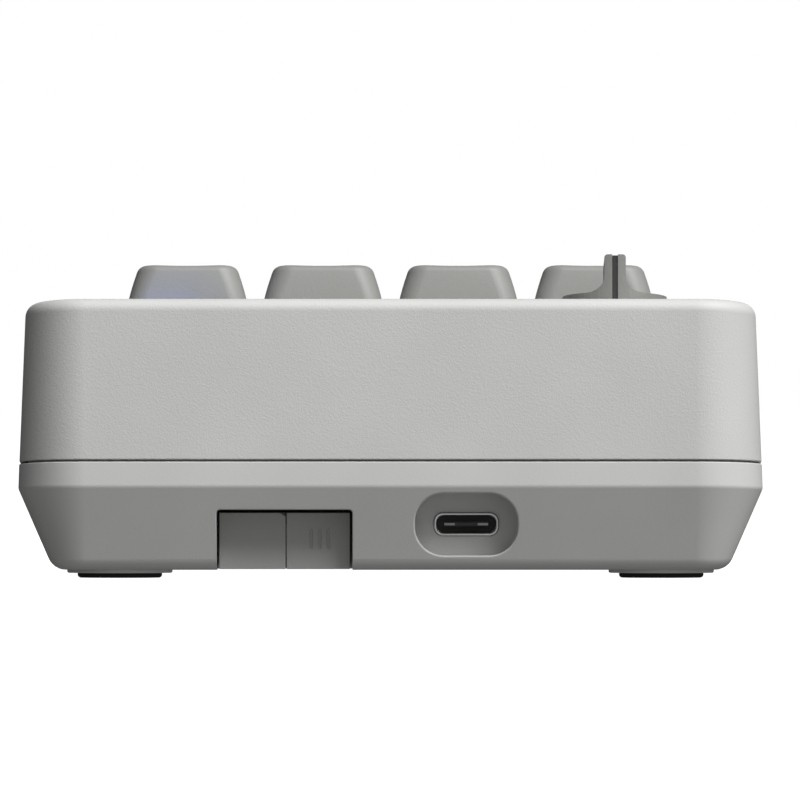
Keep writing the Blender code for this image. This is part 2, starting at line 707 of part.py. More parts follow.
def knob_cuts():
    """The pointer slot along the grip's back half and down its end, and the socket for the shaft."""
    half = SLOT_WIDTH / 2
    depth = GRIP_TOP - SLOT_DEPTH
    far = KNOB_RADIUS + 1 * MM
    high = GRIP_TOP + 1 * MM
    along = box_mesh("pointer_slot", (-half, SLOT_START, depth), (half, far, high))
    down = box_mesh("pointer_end", (-half, KNOB_RADIUS - SLOT_DEPTH, KNOB_BOTTOM - 1 * MM), (half, far, high))
    socket = cylinder_mesh("shaft_socket", SHAFT_RADIUS + GAP, KNOB_BOTTOM - 1 * MM, 1 * MM, steps=20)
    return joined("knob_cuts", [united("pointer", along, down), socket])


def build_selector(finishes, frame):
    place = (KNOB_X, STRIP_MIDDLE, 0)
    reach = KNOB_RADIUS + 1 * MM
    bar = loft("mode_knob", [[Vector((x, y, z)) for x, z in knob_section()] for y in (-reach, reach)])
    knob = part("mode_knob", bar, finishes["knob"], frame, place)
    turned = cylinder_mesh("turned", KNOB_RADIUS, KNOB_BOTTOM - 1 * MM, GRIP_TOP + 1 * MM, steps=40)
    boolean(knob, turned, "INTERSECT")
    boolean(knob, knob_cuts(), "DIFFERENCE")
    smooth(knob)
    shaft = cylinder_mesh("selector_shaft", SHAFT_RADIUS, -4.5 * MM, 1 * MM - GAP, steps=20)
    smooth(part("selector_shaft", shaft, finishes["metal"], frame, place))
    middle = (KNOB_X, STRIP_MIDDLE)
    switch = [box_ring(12 * MM, 12 * MM, height, 1 * MM, middle) for height in (BOARD_TOP + GAP, -4.8 * MM)]
    part("selector_switch", loft("selector_switch", switch), finishes["black"], frame)


def build_status_light(finishes, frame):
    """A light pipe with a long flat head, over the LED on the board."""
    middle = (LIGHT_X, LIGHT_V)
    top = 0.25 * MM
    foot_size = (LIGHT_SIZE[0] - 3 * MM, 1.8 * MM)
    face_size = (LIGHT_SIZE[0] - 0.4 * MM, LIGHT_SIZE[1] - 0.4 * MM)
    levels = [
        (foot_size, BOARD_TOP + 1.6 * MM),
        (foot_size, -WALL),
        (LIGHT_SIZE, -WALL + 0.4 * MM),
        (LIGHT_SIZE, top - 0.2 * MM),
        (face_size, top),
    ]
    rings = [box_ring(*size, height, 0.45 * size[1], middle, steps=6) for size, height in levels]
    smooth(part("status_lens", loft("status_lens", rings), finishes["lens"], frame))
    low = (LIGHT_X - 1.6 * MM, LIGHT_V - 0.8 * MM, BOARD_TOP + GAP)
    high = (LIGHT_X + 1.6 * MM, LIGHT_V + 0.8 * MM, BOARD_TOP + 1.3 * MM)
    part("status_led", box_mesh("status_led", low, high), finishes["led"], frame)


# Receiver in its bay


def build_receiver(finishes):
    front = BACK_FACE - BAY_DEPTH + GAP
    top = BAY_TOP - 0.45 * MM
    body = box_mesh(
        "receiver_body",
        (BAY_LEFT + 0.35 * MM, front, RECEIVER_BOTTOM),
        (BAY_SEAM - GAP / 2, BACK_FACE, top),
    )
    receiver = part("receiver_body", body, finishes["receiver"])
    middle = (front + BACK_FACE) / 2
    centre = (RECEIVER_BOTTOM + top) / 2
    plug_half = (6.0 * MM, 2.25 * MM)
    plug_low = BAY_SEAM - 3.2 * MM
    plug_high = BAY_RIGHT - 1.9 * MM

    def around_plug(name, low_x, high_x, margin):
        return box_mesh(
            name,
            (low_x, middle - plug_half[0] - margin, centre - plug_half[1] - margin),
            (high_x, middle + plug_half[0] + margin, centre + plug_half[1] + margin),
        )

    boolean(receiver, around_plug("plug_seat", plug_low - GAP, BAY_SEAM + 1 * MM, GAP), "DIFFERENCE")
    plug = part("receiver_plug", around_plug("receiver_plug", plug_low, plug_high, 0), finishes["metal"])
    mouth = box_mesh(
        "plug_mouth",
        (plug_low + 3 * MM, middle - plug_half[0] + 0.3 * MM, centre),
        (plug_high + 1 * MM, middle + plug_half[0] - 0.3 * MM, centre + plug_half[1] - 0.3 * MM),
    )
    boolean(plug, mouth, "DIFFERENCE")
    cover = box_mesh(
        "receiver_cover",
        (BAY_SEAM + GAP / 2, front, RECEIVER_BOTTOM),
        (BAY_RIGHT - 0.35 * MM, BACK_FACE, top),
    )
    cover = part("receiver_cover", cover, finishes["receiver"])
    boolean(cover, around_plug("cover_hollow", BAY_SEAM - 1 * MM, plug_high + GAP, GAP), "DIFFERENCE")
    notch = box_mesh(
        "pry_notch",
        (BAY_SEAM - 1 * MM, BACK_FACE - 1.2 * MM, top - 0.7 * MM),
        (BAY_SEAM + 0.75 * MM, BACK_FACE + 1 * MM, top + 1 * MM),
    )
    boolean(cover, notch, "DIFFERENCE")
    magnet = cylinder_mesh("receiver_magnet", 3.5 * MM, 0, 2 * MM)
    behind = BACK_FACE - BAY_DEPTH - 1.2 * MM - GAP - 2 * MM
    smooth(part("receiver_magnet", moved(magnet, facing_back(BAY_SEAM, behind, 7.5 * MM)), finishes["metal"]))


def main():
    clear_scene()
    MATERIALS.update(
        case=material("case_plastic", (0.50, 0.50, 0.49), 0.62),
        caps=material("keycap_plastic", (0.33, 0.33, 0.32), 0.55),
        stems=material("stem_plastic", (0.45, 0.05, 0.04), 0.4),
        knob=material("knob_plastic", (0.25, 0.25, 0.24), 0.5),
        receiver=material("receiver_plastic", (0.22, 0.22, 0.21), 0.55),
        rubber=material("black_rubber", (0.015, 0.015, 0.015), 0.85),
        metal=material("steel", (0.62, 0.62, 0.6), 0.3, 1.0),
        plate=material("plate_metal", (0.35, 0.35, 0.36), 0.45, 1.0),
        board=material("circuit_board", (0.02, 0.12, 0.06), 0.5),
        battery=material("battery_wrap", (0.05, 0.09, 0.3), 0.4),
        black=material("black_plastic", (0.02, 0.02, 0.02), 0.4),
        lens=material("lens_plastic", (0.15, 0.4, 0.9), 0.15, 0.0, 0.8),
        led=material("led_body", (0.9, 0.9, 0.8), 0.3),
    )
    frame = bpy.data.objects.new("deck_frame", None)
    bpy.context.scene.collection.objects.link(frame)
    frame.matrix_world = deck_matrix()
    build_upper_case(MATERIALS["case"])
    build_lower_case(MATERIALS["case"])
    build_screws(MATERIALS["metal"])
    build_feet(MATERIALS["rubber"])
    build_switch_plate(MATERIALS["plate"], frame)
    build_keys(MATERIALS, frame)
    build_boards(MATERIALS, frame)
    build_socket(MATERIALS)
    build_selector(MATERIALS, frame)
    build_status_light(MATERIALS, frame)
    build_receiver(MATERIALS)


main()
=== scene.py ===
"""Numeric keypad seen from behind: fine shells, keycaps, selector, socket and receiver on the CAD frame."""

import math

import bmesh
import bpy
from mathutils import Matrix, Vector


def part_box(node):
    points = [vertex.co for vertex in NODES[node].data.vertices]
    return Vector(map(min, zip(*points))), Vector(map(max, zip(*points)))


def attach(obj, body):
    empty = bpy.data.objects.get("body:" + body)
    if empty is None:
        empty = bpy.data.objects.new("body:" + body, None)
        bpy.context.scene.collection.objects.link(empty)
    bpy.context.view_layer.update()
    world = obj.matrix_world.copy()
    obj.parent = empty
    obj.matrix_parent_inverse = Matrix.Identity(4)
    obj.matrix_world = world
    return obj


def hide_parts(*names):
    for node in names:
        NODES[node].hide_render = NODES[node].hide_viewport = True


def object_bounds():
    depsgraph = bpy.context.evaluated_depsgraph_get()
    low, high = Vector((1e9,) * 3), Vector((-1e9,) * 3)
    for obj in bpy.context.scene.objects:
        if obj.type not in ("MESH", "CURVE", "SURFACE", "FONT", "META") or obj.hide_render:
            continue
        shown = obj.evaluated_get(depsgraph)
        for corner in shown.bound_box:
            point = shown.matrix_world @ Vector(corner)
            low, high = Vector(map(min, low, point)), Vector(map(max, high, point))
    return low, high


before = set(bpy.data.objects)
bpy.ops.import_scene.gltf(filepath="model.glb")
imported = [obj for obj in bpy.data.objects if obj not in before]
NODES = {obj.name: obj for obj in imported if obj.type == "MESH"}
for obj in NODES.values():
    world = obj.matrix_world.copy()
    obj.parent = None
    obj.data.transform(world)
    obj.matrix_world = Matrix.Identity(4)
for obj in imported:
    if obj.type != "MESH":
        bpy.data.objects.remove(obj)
CAD_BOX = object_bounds()

MM = 0.001
GAP = 0.3 * MM

# Case
HIGH = CAD_BOX[1]
HALF_WIDTH = HIGH.x
HALF_DEPTH = HIGH.y
RIM_HEIGHT = 39.05 * MM
TYPING_ANGLE = math.radians(6.0)
CORNER_RADIUS = 9.4 * MM
WALL = 2.4 * MM
PARTING_HEIGHT = 16.4 * MM
PARTING_SLOPE = math.tan(math.radians(2.5))
CHAMFER_DROP = 3.6 * MM
CHAMFER_ANGLE = math.radians(23.5)
CHAMFER_FILLET = 1.3 * MM
CASE_BOTTOM = 1.15 * MM
INNER_FLOOR = CASE_BOTTOM + 2.2 * MM
BOTTOM_FILLET = 2.6 * MM
UPPER_STEP = 0.15 * MM
LOWER_STEP = 0.1 * MM
RIM_INSET = 0.97 * MM
RIM_FILLET = 1.9 * MM
PARTING_FILLET = 0.15 * MM
LIP_INSET = 1.3 * MM
LIP_HEIGHT = 1.2 * MM
CORNER_STEPS = 18

RIM_BACK = HALF_DEPTH - RIM_INSET
DECK_HEIGHT = RIM_HEIGHT - RIM_BACK * math.tan(TYPING_ANGLE)
DECK = Matrix.Translation((0, 0, DECK_HEIGHT)) @ Matrix.Rotation(TYPING_ANGLE, 4, "X")

# Keys
PITCH = 19.05 * MM
COLUMNS = 4
ROWS = 5
REAR_STRIP = 30.0 * MM
FIELD_BACK = RIM_BACK / math.cos(TYPING_ANGLE) - REAR_STRIP
FIELD_MIDDLE = FIELD_BACK - ROWS * PITCH / 2
WELL_SIZE = (COLUMNS * PITCH + 0.05 * MM, ROWS * PITCH + 0.05 * MM)
WELL_CORNER = 1.4 * MM
CAP_BASE = 18.1 * MM
CAP_BOTTOM = -1.0 * MM
CAP_EDGE_DROP = 1.15 * MM
CAP_EDGE_WIDTH = 14.5 * MM
CAP_EDGE_DEPTH = 14.8 * MM
CAP_SHIFT = 0.9 * MM
CAP_BULGE = 0.22 * MM
CAP_FILLET = 1.25 * MM
CAP_TOPS = [7.93 * MM, 6.9 * MM, 6.5 * MM, 6.8 * MM, 7.1 * MM]
CAP_TILTS = [3.0, 1.0, -1.5, -5.0, -7.0]
CAP_WALL = 1.1 * MM
DISH = 0.5 * MM
KEYS = [
    # name, column and row of its middle, width and depth in key units, legend, dark cap
    ("num_lock", 0, 0, 1, 1, "#", True),
    ("divide", 1, 0, 1, 1, "/", True),
    ("multiply", 2, 0, 1, 1, "times", True),
    ("minus", 3, 0, 1, 1, "minus", True),
    ("digit_7", 0, 1, 1, 1, "7", False),
    ("digit_8", 1, 1, 1, 1, "8", False),
    ("digit_9", 2, 1, 1, 1, "9", False),
    ("plus", 3, 1.5, 1, 2, "plus", True),
    ("digit_4", 0, 2, 1, 1, "4", False),
    ("digit_5", 1, 2, 1, 1, "5", False),
    ("digit_6", 2, 2, 1, 1, "6", False),
    ("digit_1", 0, 3, 1, 1, "1", False),
    ("digit_2", 1, 3, 1, 1, "2", False),
    ("digit_3", 2, 3, 1, 1, "3", False),
    ("enter", 3, 3.5, 1, 2, "return", True),
    ("digit_0", 0.5, 4, 2, 1, "0", False),
    ("decimal", 2, 4, 1, 1, "point", False),
]
LEGEND_SIZE = 6.2 * MM
LEGEND_STROKE = 0.75 * MM
LEGEND_PROUD = 0.02 * MM

# Selector and light
STRIP_MIDDLE = FIELD_BACK + REAR_STRIP / 2
KNOB_X = -31.3 * MM
KNOB_RADIUS = 7.3 * MM
KNOB_BOTTOM = -0.5 * MM
KNOB_TOP = 1.65 * MM
KNOB_POCKET = 0.8 * MM
POCKET_GAP = 0.4 * MM
KNOB_EDGE = 0.35 * MM
GRIP_WIDTH = 3.0 * MM
GRIP_TOP = 6.92 * MM
GRIP_EDGE = 0.45 * MM
FLARE_REACH = 2.7 * MM
FLARE_HEIGHT = 2.15 * MM
SLOT_WIDTH = 0.8 * MM
SLOT_DEPTH = 0.35 * MM
SLOT_START = 2.5 * MM
SHAFT_RADIUS = 2.0 * MM
LIGHT_X = 31.0 * MM
LIGHT_GAP = 3.2 * MM
LIGHT_V = FIELD_BACK + LIGHT_GAP
LIGHT_SIZE = (7.6 * MM, 2.8 * MM)

# Back
SOCKET_LOW, SOCKET_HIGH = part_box("usb_shell")
SOCKET_X = (SOCKET_LOW.x + SOCKET_HIGH.x) / 2
SOCKET_HEIGHT = (SOCKET_LOW.z + SOCKET_HIGH.z) / 2
SOCKET_SIZE = (SOCKET_HIGH.x - SOCKET_LOW.x, SOCKET_HIGH.z - SOCKET_LOW.z)
SOCKET_LENGTH = SOCKET_HIGH.y - SOCKET_LOW.y
BACK_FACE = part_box("receiver_body")[1].y
RECESS_SIZE = (14.3 * MM, 8.7 * MM)
RECESS_HEIGHT = 7.5 * MM
RECESS_CORNER = 4.0 * MM
RECESS_EDGE = 0.25 * MM
BAY_LEFT = 5.3 * MM
BAY_RIGHT = 24.2 * MM
BAY_TOP = 9.55 * MM
BAY_DEPTH = 17.0 * MM
BAY_EDGE = 0.15 * MM
SHELL_CORNER = 1.2 * MM
SHELL_WALL = 0.3 * MM
TONGUE_START = 2.6 * MM
PLUG_ROOM = (12.6 * MM, 5.1 * MM)

# Feet, screws and board rests
FOOT_X = 37.8 * MM
FOOT_Y = 55.9 * MM
BOSS_RADIUS = 7.35 * MM
BOSS_DROP = 0.47 * MM
BOSS_EDGE = 0.15 * MM
PAD_RADIUS = 5.9 * MM
FOOT_TOP = 2.0 * MM
SCREW_X = 43.2 * MM
SCREW_Y = 38.0 * MM
SCREW_BOSS = 3.3 * MM
SCREW_RADIUS = 1.3 * MM
HEAD_RADIUS = 2.6 * MM
HEAD_BOTTOM = CASE_BOTTOM + 0.5 * MM
HEAD_DOME = 0.25 * MM
HEAD_TOP = 3.4 * MM
THREAD_PITCH = 0.9 * MM
SCREW_TIP = 17.5 * MM
BOARD_UNDER = -14.0 * MM
REST_X = 38.0 * MM
REST_Y = 18.0 * MM
REST_SIZE = (2.4 * MM, 5.0 * MM)
CORNER_NAMES = ["front_left", "rear_left", "front_right", "rear_right"]

# Camera: the view is FRAME_WIDTH wide at the back of the case
CAMERA_DISTANCE = 2.5
FRAME_WIDTH = 111.1 * MM
SENSOR = 36.0
AIM_X = -1.32 * MM
AIM_HEIGHT = 24.8 * MM

# Key light
LIGHT_PLACE = (-0.6, 0.67, 1.13)
LIGHT_TARGET = (0, 0, 0.02)
LIGHT_WIDTH = 0.9
LIGHT_POWER = 27.7


# Sloping levels of the case


def deck_level(y):
    return DECK_HEIGHT + y * math.tan(TYPING_ANGLE)


def parting_level(y):
    return PARTING_HEIGHT - (HALF_DEPTH - y) * PARTING_SLOPE


def chamfer_level(y):
    return parting_level(y) - CHAMFER_DROP


def chamfer_plane(z):
    """The y of the tapering back face at a height."""
    return HALF_DEPTH - (chamfer_level(HALF_DEPTH) - z) * math.tan(CHAMFER_ANGLE)


# Mesh tools


def arc(steps, start=0.0, end=math.pi / 2):
    return [start + (end - start) * step / steps for step in range(steps + 1)]


def rounded_outline(half_x, half_y, radius, steps=CORNER_STEPS, straights=1):
    """Points of a rounded rectangle, each with its outward direction, anticlockwise from +X."""
    points = []
    for quarter in range(4):
        sign_x = (1, -1, -1, 1)[quarter]
        sign_y = (1, 1, -1, -1)[quarter]
        centre = Vector((sign_x * (half_x - radius), sign_y * (half_y - radius)))
        for turn in arc(steps, quarter * math.pi / 2, (quarter + 1) * math.pi / 2):
            outward = Vector((math.cos(turn), math.sin(turn)))
            points.append((centre + radius * outward, outward))
        next_x = (-1, -1, 1, 1)[quarter]
        next_y = (1, -1, -1, 1)[quarter]
        target = Vector((next_x * (half_x - radius), next_y * (half_y - radius))) + radius * outward
        last = points[-1][0]
        for step in range(1, straights):
            points.append((last.lerp(target, step / straights), outward))
    return points


def case_ring(inset, height):
    """One ring round the case: inset and height are functions of y."""
    ring = []
    for point, outward in rounded_outline(HALF_WIDTH, HALF_DEPTH, CORNER_RADIUS):
        place = point - inset(point.y) * outward
        ring.append(Vector((place.x, place.y, height(place.y))))
    return ring


def box_ring(size_x, size_y, height, corner, middle=(0, 0), steps=6):
    outline = rounded_outline(size_x / 2, size_y / 2, corner, steps)
    return [Vector((middle[0] + p.x, middle[1] + p.y, height)) for p, _ in outline]


def circle_ring(radius, height, middle=(0, 0), steps=48):
    turns = [2 * math.pi * step / steps for step in range(steps)]
    return [
        Vector((middle[0] + radius * math.cos(t), middle[1] + radius * math.sin(t), height))
        for t in turns
    ]


def rectangle(size_x, size_y, height, middle=(0, 0)):
    corners = [(-0.5, -0.5), (0.5, -0.5), (0.5, 0.5), (-0.5, 0.5)]
    return [Vector((middle[0] + a * size_x, middle[1] + b * size_y, height)) for a, b in corners]


def loft(name, rings, close=False):
    """A mesh through rings of equal length: ends filled, or joined to each other if close is true."""
    shape = bmesh.new()
    loops = [[shape.verts.new(point) for point in ring] for ring in rings]
    count = len(loops[0])
    pairs = list(zip(loops, loops[1:])) + ([(loops[-1], loops[0])] if close else [])
    for lower, upper in pairs:
        for i in range(count):
            j = (i + 1) % count
            shape.faces.new((lower[i], lower[j], upper[j], upper[i]))
    if not close:
        shape.faces.new(reversed(loops[0]))
        shape.faces.new(loops[-1])
    bmesh.ops.recalc_face_normals(shape, faces=shape.faces)
    mesh = bpy.data.meshes.new(name)
    shape.to_mesh(mesh)
    shape.free()
    return mesh


def box_mesh(low, high):
    middle = ((low[0] + high[0]) / 2, (low[1] + high[1]) / 2)
    size = (high[0] - low[0], high[1] - low[1])
    return loft("box", [rectangle(*size, height, middle) for height in (low[2], high[2])])


def cylinder_mesh(radius, bottom, top, middle=(0, 0), steps=48):
    return loft("cylinder", [circle_ring(radius, height, middle, steps) for height in (bottom, top)])


def moved(mesh, matrix):
    mesh.transform(matrix)
    return mesh


def joined(meshes):
    """One mesh that holds several separate bodies."""
    whole = bmesh.new()
    for mesh in meshes:
        whole.from_mesh(mesh)
    made = bpy.data.meshes.new("joined")
    whole.to_mesh(made)
    whole.free()
    return made


def flared(ring_at, depths, radius, steps=5):
    """Rings of a cutter that rounds the edge of its hole: ring_at(offset, depth) gives one ring.

    The surface is at depth 0 and the hole goes down to each of the further depths."""
    rings = [ring_at(radius, -2 * radius), ring_at(radius, 0)]
    rings += [ring_at(radius * (1 - math.sin(t)), radius * (1 - math.cos(t))) for t in arc(steps)[1:]]
    return rings + [ring_at(0, depth) for depth in depths]


def put(name, mesh):
    obj = bpy.data.objects.new(name, mesh)
    bpy.context.scene.collection.objects.link(obj)
    return obj


def evaluated_mesh(obj):
    bpy.context.view_layer.update()
    graph = bpy.context.evaluated_depsgraph_get()
    made = bpy.data.meshes.new_from_object(obj.evaluated_get(graph))
    made.name = obj.name
    return made


def carved(name, mesh, steps):
    """The mesh after a list of (operation, mesh) Booleans."""
    base = put(name, mesh)
    helpers = []
    for operation, other in steps:
        helper = put("helper", other)
        helpers.append(helper)
        modifier = base.modifiers.new("cut", "BOOLEAN")
        modifier.operation = operation
        modifier.solver = "EXACT"
        modifier.object = helper
    made = evaluated_mesh(base)
    for obj in [*helpers, base]:
        bpy.data.objects.remove(obj)
    return made


def bevelled(mesh, width, segments=3, angle=40):
    base = put("bevelled", mesh)
    modifier = base.modifiers.new("bevel", "BEVEL")
    modifier.width = width
    modifier.segments = segments
    modifier.limit_method = "ANGLE"
    modifier.angle_limit = math.radians(angle)
    made = evaluated_mesh(base)
    bpy.data.objects.remove(base)
    return made


def piece(name, mesh, material, body, replaces=(), angle=32, weighted=True):
    """A finished, smooth-shaded piece that rides on a body."""
    mesh.materials.clear()
    mesh.materials.append(material)
    mesh.shade_smooth()
    mesh.set_sharp_from_angle(angle=math.radians(angle))
    obj = put(name, mesh)
    if weighted:
        modifier = obj.modifiers.new("weighted_normals", "WEIGHTED_NORMAL")
        modifier.keep_sharp = True
        modifier.weight = 80
    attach(obj, body)
    if replaces:
        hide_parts(*replaces)


def corner_places(x, y):
    return [(sx * x, sy * y) for sx in (-1, 1) for sy in (-1, 1)]


def facing_back(x, y, z):
    """Turns a bar built along +Z so that it points along +Y."""
    return Matrix.Translation((x, y, z)) @ Matrix.Rotation(math.radians(-90), 4, "X")


# Materials


def link(tree, source, output, target, socket):
    tree.links.new(source.outputs[output], target.inputs[socket])


def node(tree, kind, **settings):
    made = tree.nodes.new(kind)
    for key, value in settings.items():
        if hasattr(made, key):
            setattr(made, key, value)
        else:
            made.inputs[key].default_value = value
    return made


def base_material(name, roughness, metallic=0.0):
    material = bpy.data.materials.new(name)
    material.use_nodes = True
    shader = material.node_tree.nodes["Principled BSDF"]
    shader.inputs["Roughness"].default_value = roughness
    shader.inputs["Metallic"].default_value = metallic
    return material, material.node_tree, shader


def tinted(tree, shader, colour, spread, scale):
    """Base colour with a soft mottling of plus or minus spread at a scale in cells per metre."""
    place = node(tree, "ShaderNodeTexCoord")
    noise = node(tree, "ShaderNodeTexNoise", Scale=scale, Detail=3.0)
    link(tree, place, "Object", noise, "Vector")
    ramp = node(tree, "ShaderNodeValToRGB")
    ramp.color_ramp.elements[0].position = 0.3
    ramp.color_ramp.elements[1].position = 0.7
    ramp.color_ramp.elements[0].color = (*[max(c * (1 - spread), 0) for c in colour], 1)
    ramp.color_ramp.elements[1].color = (*[min(c * (1 + spread), 1) for c in colour], 1)
    link(tree, noise, "Fac", ramp, "Fac")
    link(tree, ramp, "Color", shader, "Base Color")
    return place


def grained_plastic(name, colour, roughness, cell, depth):
    """Moulded plastic with a leather grain: cell is its size and depth its height, in metres."""
    material, tree, shader = base_material(name, roughness)
    place = tinted(tree, shader, colour, 0.03, 60)
    warp = node(tree, "ShaderNodeTexNoise", Scale=0.6 / cell, Detail=2.0)
    link(tree, place, "Object", warp, "Vector")
    cells = node(tree, "ShaderNodeTexVoronoi", feature="SMOOTH_F1", Scale=1.0 / cell, Smoothness=0.6)
    link(tree, place, "Object", cells, "Vector")
    fine = node(tree, "ShaderNodeTexNoise", Scale=2.2 / cell, Detail=2.0)
    link(tree, place, "Object", fine, "Vector")
    mix = node(tree, "ShaderNodeMath", operation="ADD")
    link(tree, cells, "Distance", mix, 0)
    link(tree, warp, "Fac", mix, 1)
    whole = node(tree, "ShaderNodeMath", operation="MULTIPLY_ADD")
    whole.inputs[1].default_value = 0.35
    link(tree, fine, "Fac", whole, 0)
    link(tree, mix, "Value", whole, 2)
    bump = node(tree, "ShaderNodeBump", Strength=1.0, Distance=depth)
    link(tree, whole, "Value", bump, "Height")
    link(tree, bump, "Normal", shader, "Normal")
    return material


def rubber(name, colour):
    material, tree, shader = base_material(name, 0.8)
    place = tinted(tree, shader, colour, 0.25, 900)
    noise = node(tree, "ShaderNodeTexNoise", Scale=2500.0, Detail=3.0)
    link(tree, place, "Object", noise, "Vector")
    bump = node(tree, "ShaderNodeBump", Strength=0.6, Distance=0.02 * MM)
    link(tree, noise, "Fac", bump, "Height")
    link(tree, bump, "Normal", shader, "Normal")
    return material


def metal(name, colour, roughness):
    """Plated metal with fine drawn lines along Y."""
    material, tree, shader = base_material(name, roughness, 1.0)
    place = tinted(tree, shader, colour, 0.06, 400)
    stretch = node(tree, "ShaderNodeMapping")
    stretch.inputs["Scale"].default_value = (1.0, 0.03, 1.0)
    link(tree, place, "Object", stretch, "Vector")
    noise = node(tree, "ShaderNodeTexNoise", Scale=4000.0, Detail=2.0)
    link(tree, stretch, "Vector", noise, "Vector")
    rough = node(tree, "ShaderNodeMapRange")
    rough.inputs["To Min"].default_value = roughness * 0.75
    rough.inputs["To Max"].default_value = roughness * 1.3
    link(tree, noise, "Fac", rough, "Value")
    link(tree, rough, "Result", shader, "Roughness")
    return material


def smooth_plastic(name, colour, roughness):
    material, tree, shader = base_material(name, roughness)
    place = tinted(tree, shader, colour, 0.06, 500)
    noise = node(tree, "ShaderNodeTexNoise", Scale=1500.0, Detail=2.0)
    link(tree, place, "Object", noise, "Vector")
    bump = node(tree, "ShaderNodeBump", Strength=0.25, Distance=0.01 * MM)
    link(tree, noise, "Fac", bump, "Height")
    link(tree, bump, "Normal", shader, "Normal")
    return material


def circuit_board(name):
    """Green solder mask with faint copper tracks under it."""
    material, tree, shader = base_material(name, 0.35)
    place = node(tree, "ShaderNodeTexCoord")
    tracks = node(tree, "ShaderNodeTexBrick", offset=0.37, Scale=260.0)
    tracks.inputs["Color1"].default_value = (0.008, 0.07, 0.035, 1)
    tracks.inputs["Color2"].default_value = (0.01, 0.085, 0.04, 1)
    tracks.inputs["Mortar"].default_value = (0.03, 0.17, 0.07, 1)
    tracks.inputs["Mortar Size"].default_value = 0.03
    link(tree, place, "Object", tracks, "Vector")
    link(tree, tracks, "Color", shader, "Base Color")
    return material


def glowing_lens(name, colour, glow):
    """Glossy light pipe that glows evenly."""
    material, tree, shader = base_material(name, 0.12)
    tinted(tree, shader, colour, 0.08, 700)
    shader.inputs["Emission Color"].default_value = (*colour, 1)
    shader.inputs["Emission Strength"].default_value = glow
    shader.inputs["Coat Weight"].default_value = 0.6
    return material


MATERIALS = {
    "case": grained_plastic("case_plastic", (0.555, 0.555, 0.545), 0.55, 0.24 * MM, 0.018 * MM),
    # Lower shell: the case's grey made a little lighter, as painted fill that lifts its downward-facing
    # taper.
    "lower_painted_fill": grained_plastic("lower_shell_painted_fill_plastic", (0.575, 0.575, 0.565), 0.55, 0.24 * MM, 0.006 * MM),
    "cap_dark": grained_plastic("cap_dark_plastic", (0.25, 0.25, 0.24), 0.5, 0.25 * MM, 0.008 * MM),
    "cap_light": grained_plastic("cap_light_plastic", (0.58, 0.58, 0.56), 0.48, 0.3 * MM, 0.012 * MM),
    "legend_dark": smooth_plastic("legend_dark_plastic", (0.05, 0.05, 0.055), 0.5),
    "legend_light": smooth_plastic("legend_light_plastic", (0.75, 0.75, 0.72), 0.5),
    "knob": grained_plastic("knob_plastic", (0.22, 0.22, 0.21), 0.42, 0.3 * MM, 0.01 * MM),
    "pointer": smooth_plastic("pointer_paint", (0.03, 0.03, 0.03), 0.5),
    # The receiver is the case's plastic; its darker grey here is painted shade for the bay it sits in.
    "receiver": grained_plastic("receiver_plastic", (0.42, 0.42, 0.41), 0.5, 0.35 * MM, 0.006 * MM),
    "rubber": rubber("foot_rubber", (0.006, 0.006, 0.006)),
    "silicone": rubber("pad_silicone", (0.09, 0.09, 0.1)),
    "steel": metal("bright_steel", (0.88, 0.88, 0.87), 0.4),
    "screw": metal("screw_steel", (0.3, 0.3, 0.31), 0.35),
    "plate": smooth_plastic("plate_and_housings", (0.05, 0.05, 0.055), 0.4),
    "dull_steel": metal("dull_steel", (0.42, 0.42, 0.41), 0.45),
    "gold": metal("gold_contacts", (0.6, 0.46, 0.22), 0.4),
    "black": smooth_plastic("black_plastic", (0.055, 0.055, 0.056), 0.4),
    "stem": smooth_plastic("stem_plastic", (0.42, 0.05, 0.035), 0.3),
    "board": circuit_board("circuit_board"),
    "battery": smooth_plastic("battery_wrap", (0.1, 0.12, 0.2), 0.3),
    "lens": glowing_lens("status_lens_plastic", (0.02, 0.17, 1.0), 4.5),
    "led": smooth_plastic("led_body", (0.8, 0.8, 0.72), 0.3),
}


# Case shells


def upper_rings(inset, lowest, top_drop, steps):
    """Rings of the upper shell's body, set in by inset, from lowest(y) to the deck less top_drop."""
    fillet = max(RIM_FILLET - inset, 0.4 * MM)
    rings = [case_ring(lambda y: UPPER_STEP + inset, lowest)]
    for turn in arc(steps):
        drop = top_drop + fillet * (1 - math.sin(turn))
        inward = RIM_INSET + inset + fillet * (1 - math.cos(turn))
        rings.append(case_ring(lambda y, d=inward: d, lambda y, d=drop: deck_level(y) - d))
    return rings


def upper_outer():
    """From the rounded edge at the parting line up to the deck."""
    edge = [
        case_ring(
            lambda y, t=turn: UPPER_STEP + PARTING_FILLET * (1 - math.sin(t)),
            lambda y, t=turn: parting_level(y) + GAP / 2 + PARTING_FILLET * (1 - math.cos(t)),
        )
        for turn in arc(4)
    ]

    def edge_end(y):
        return parting_level(y) + GAP / 2 + PARTING_FILLET

    return edge[:-1] + upper_rings(0, edge_end, 0, 12)


def upper_hollow():
    """A wider part that makes way for the lower shell's lip, and the room above it."""
    lip_way = LIP_INSET - GAP
    lip_top = LIP_HEIGHT + GAP
    return [
        case_ring(lambda y: lip_way, lambda y: parting_level(y) - WALL),
        case_ring(lambda y: lip_way, lambda y: parting_level(y) + lip_top),
        *upper_rings(WALL, lambda y: parting_level(y) + lip_top, WALL, 3),
    ]


def deck_hole(ring, radius, depth=12 * MM):
    """A flared cutter into the deck: ring(offset, height) in the deck's frame."""
    return moved(loft("deck_hole", flared(lambda o, d: ring(o, -d), [depth], radius)), DECK)


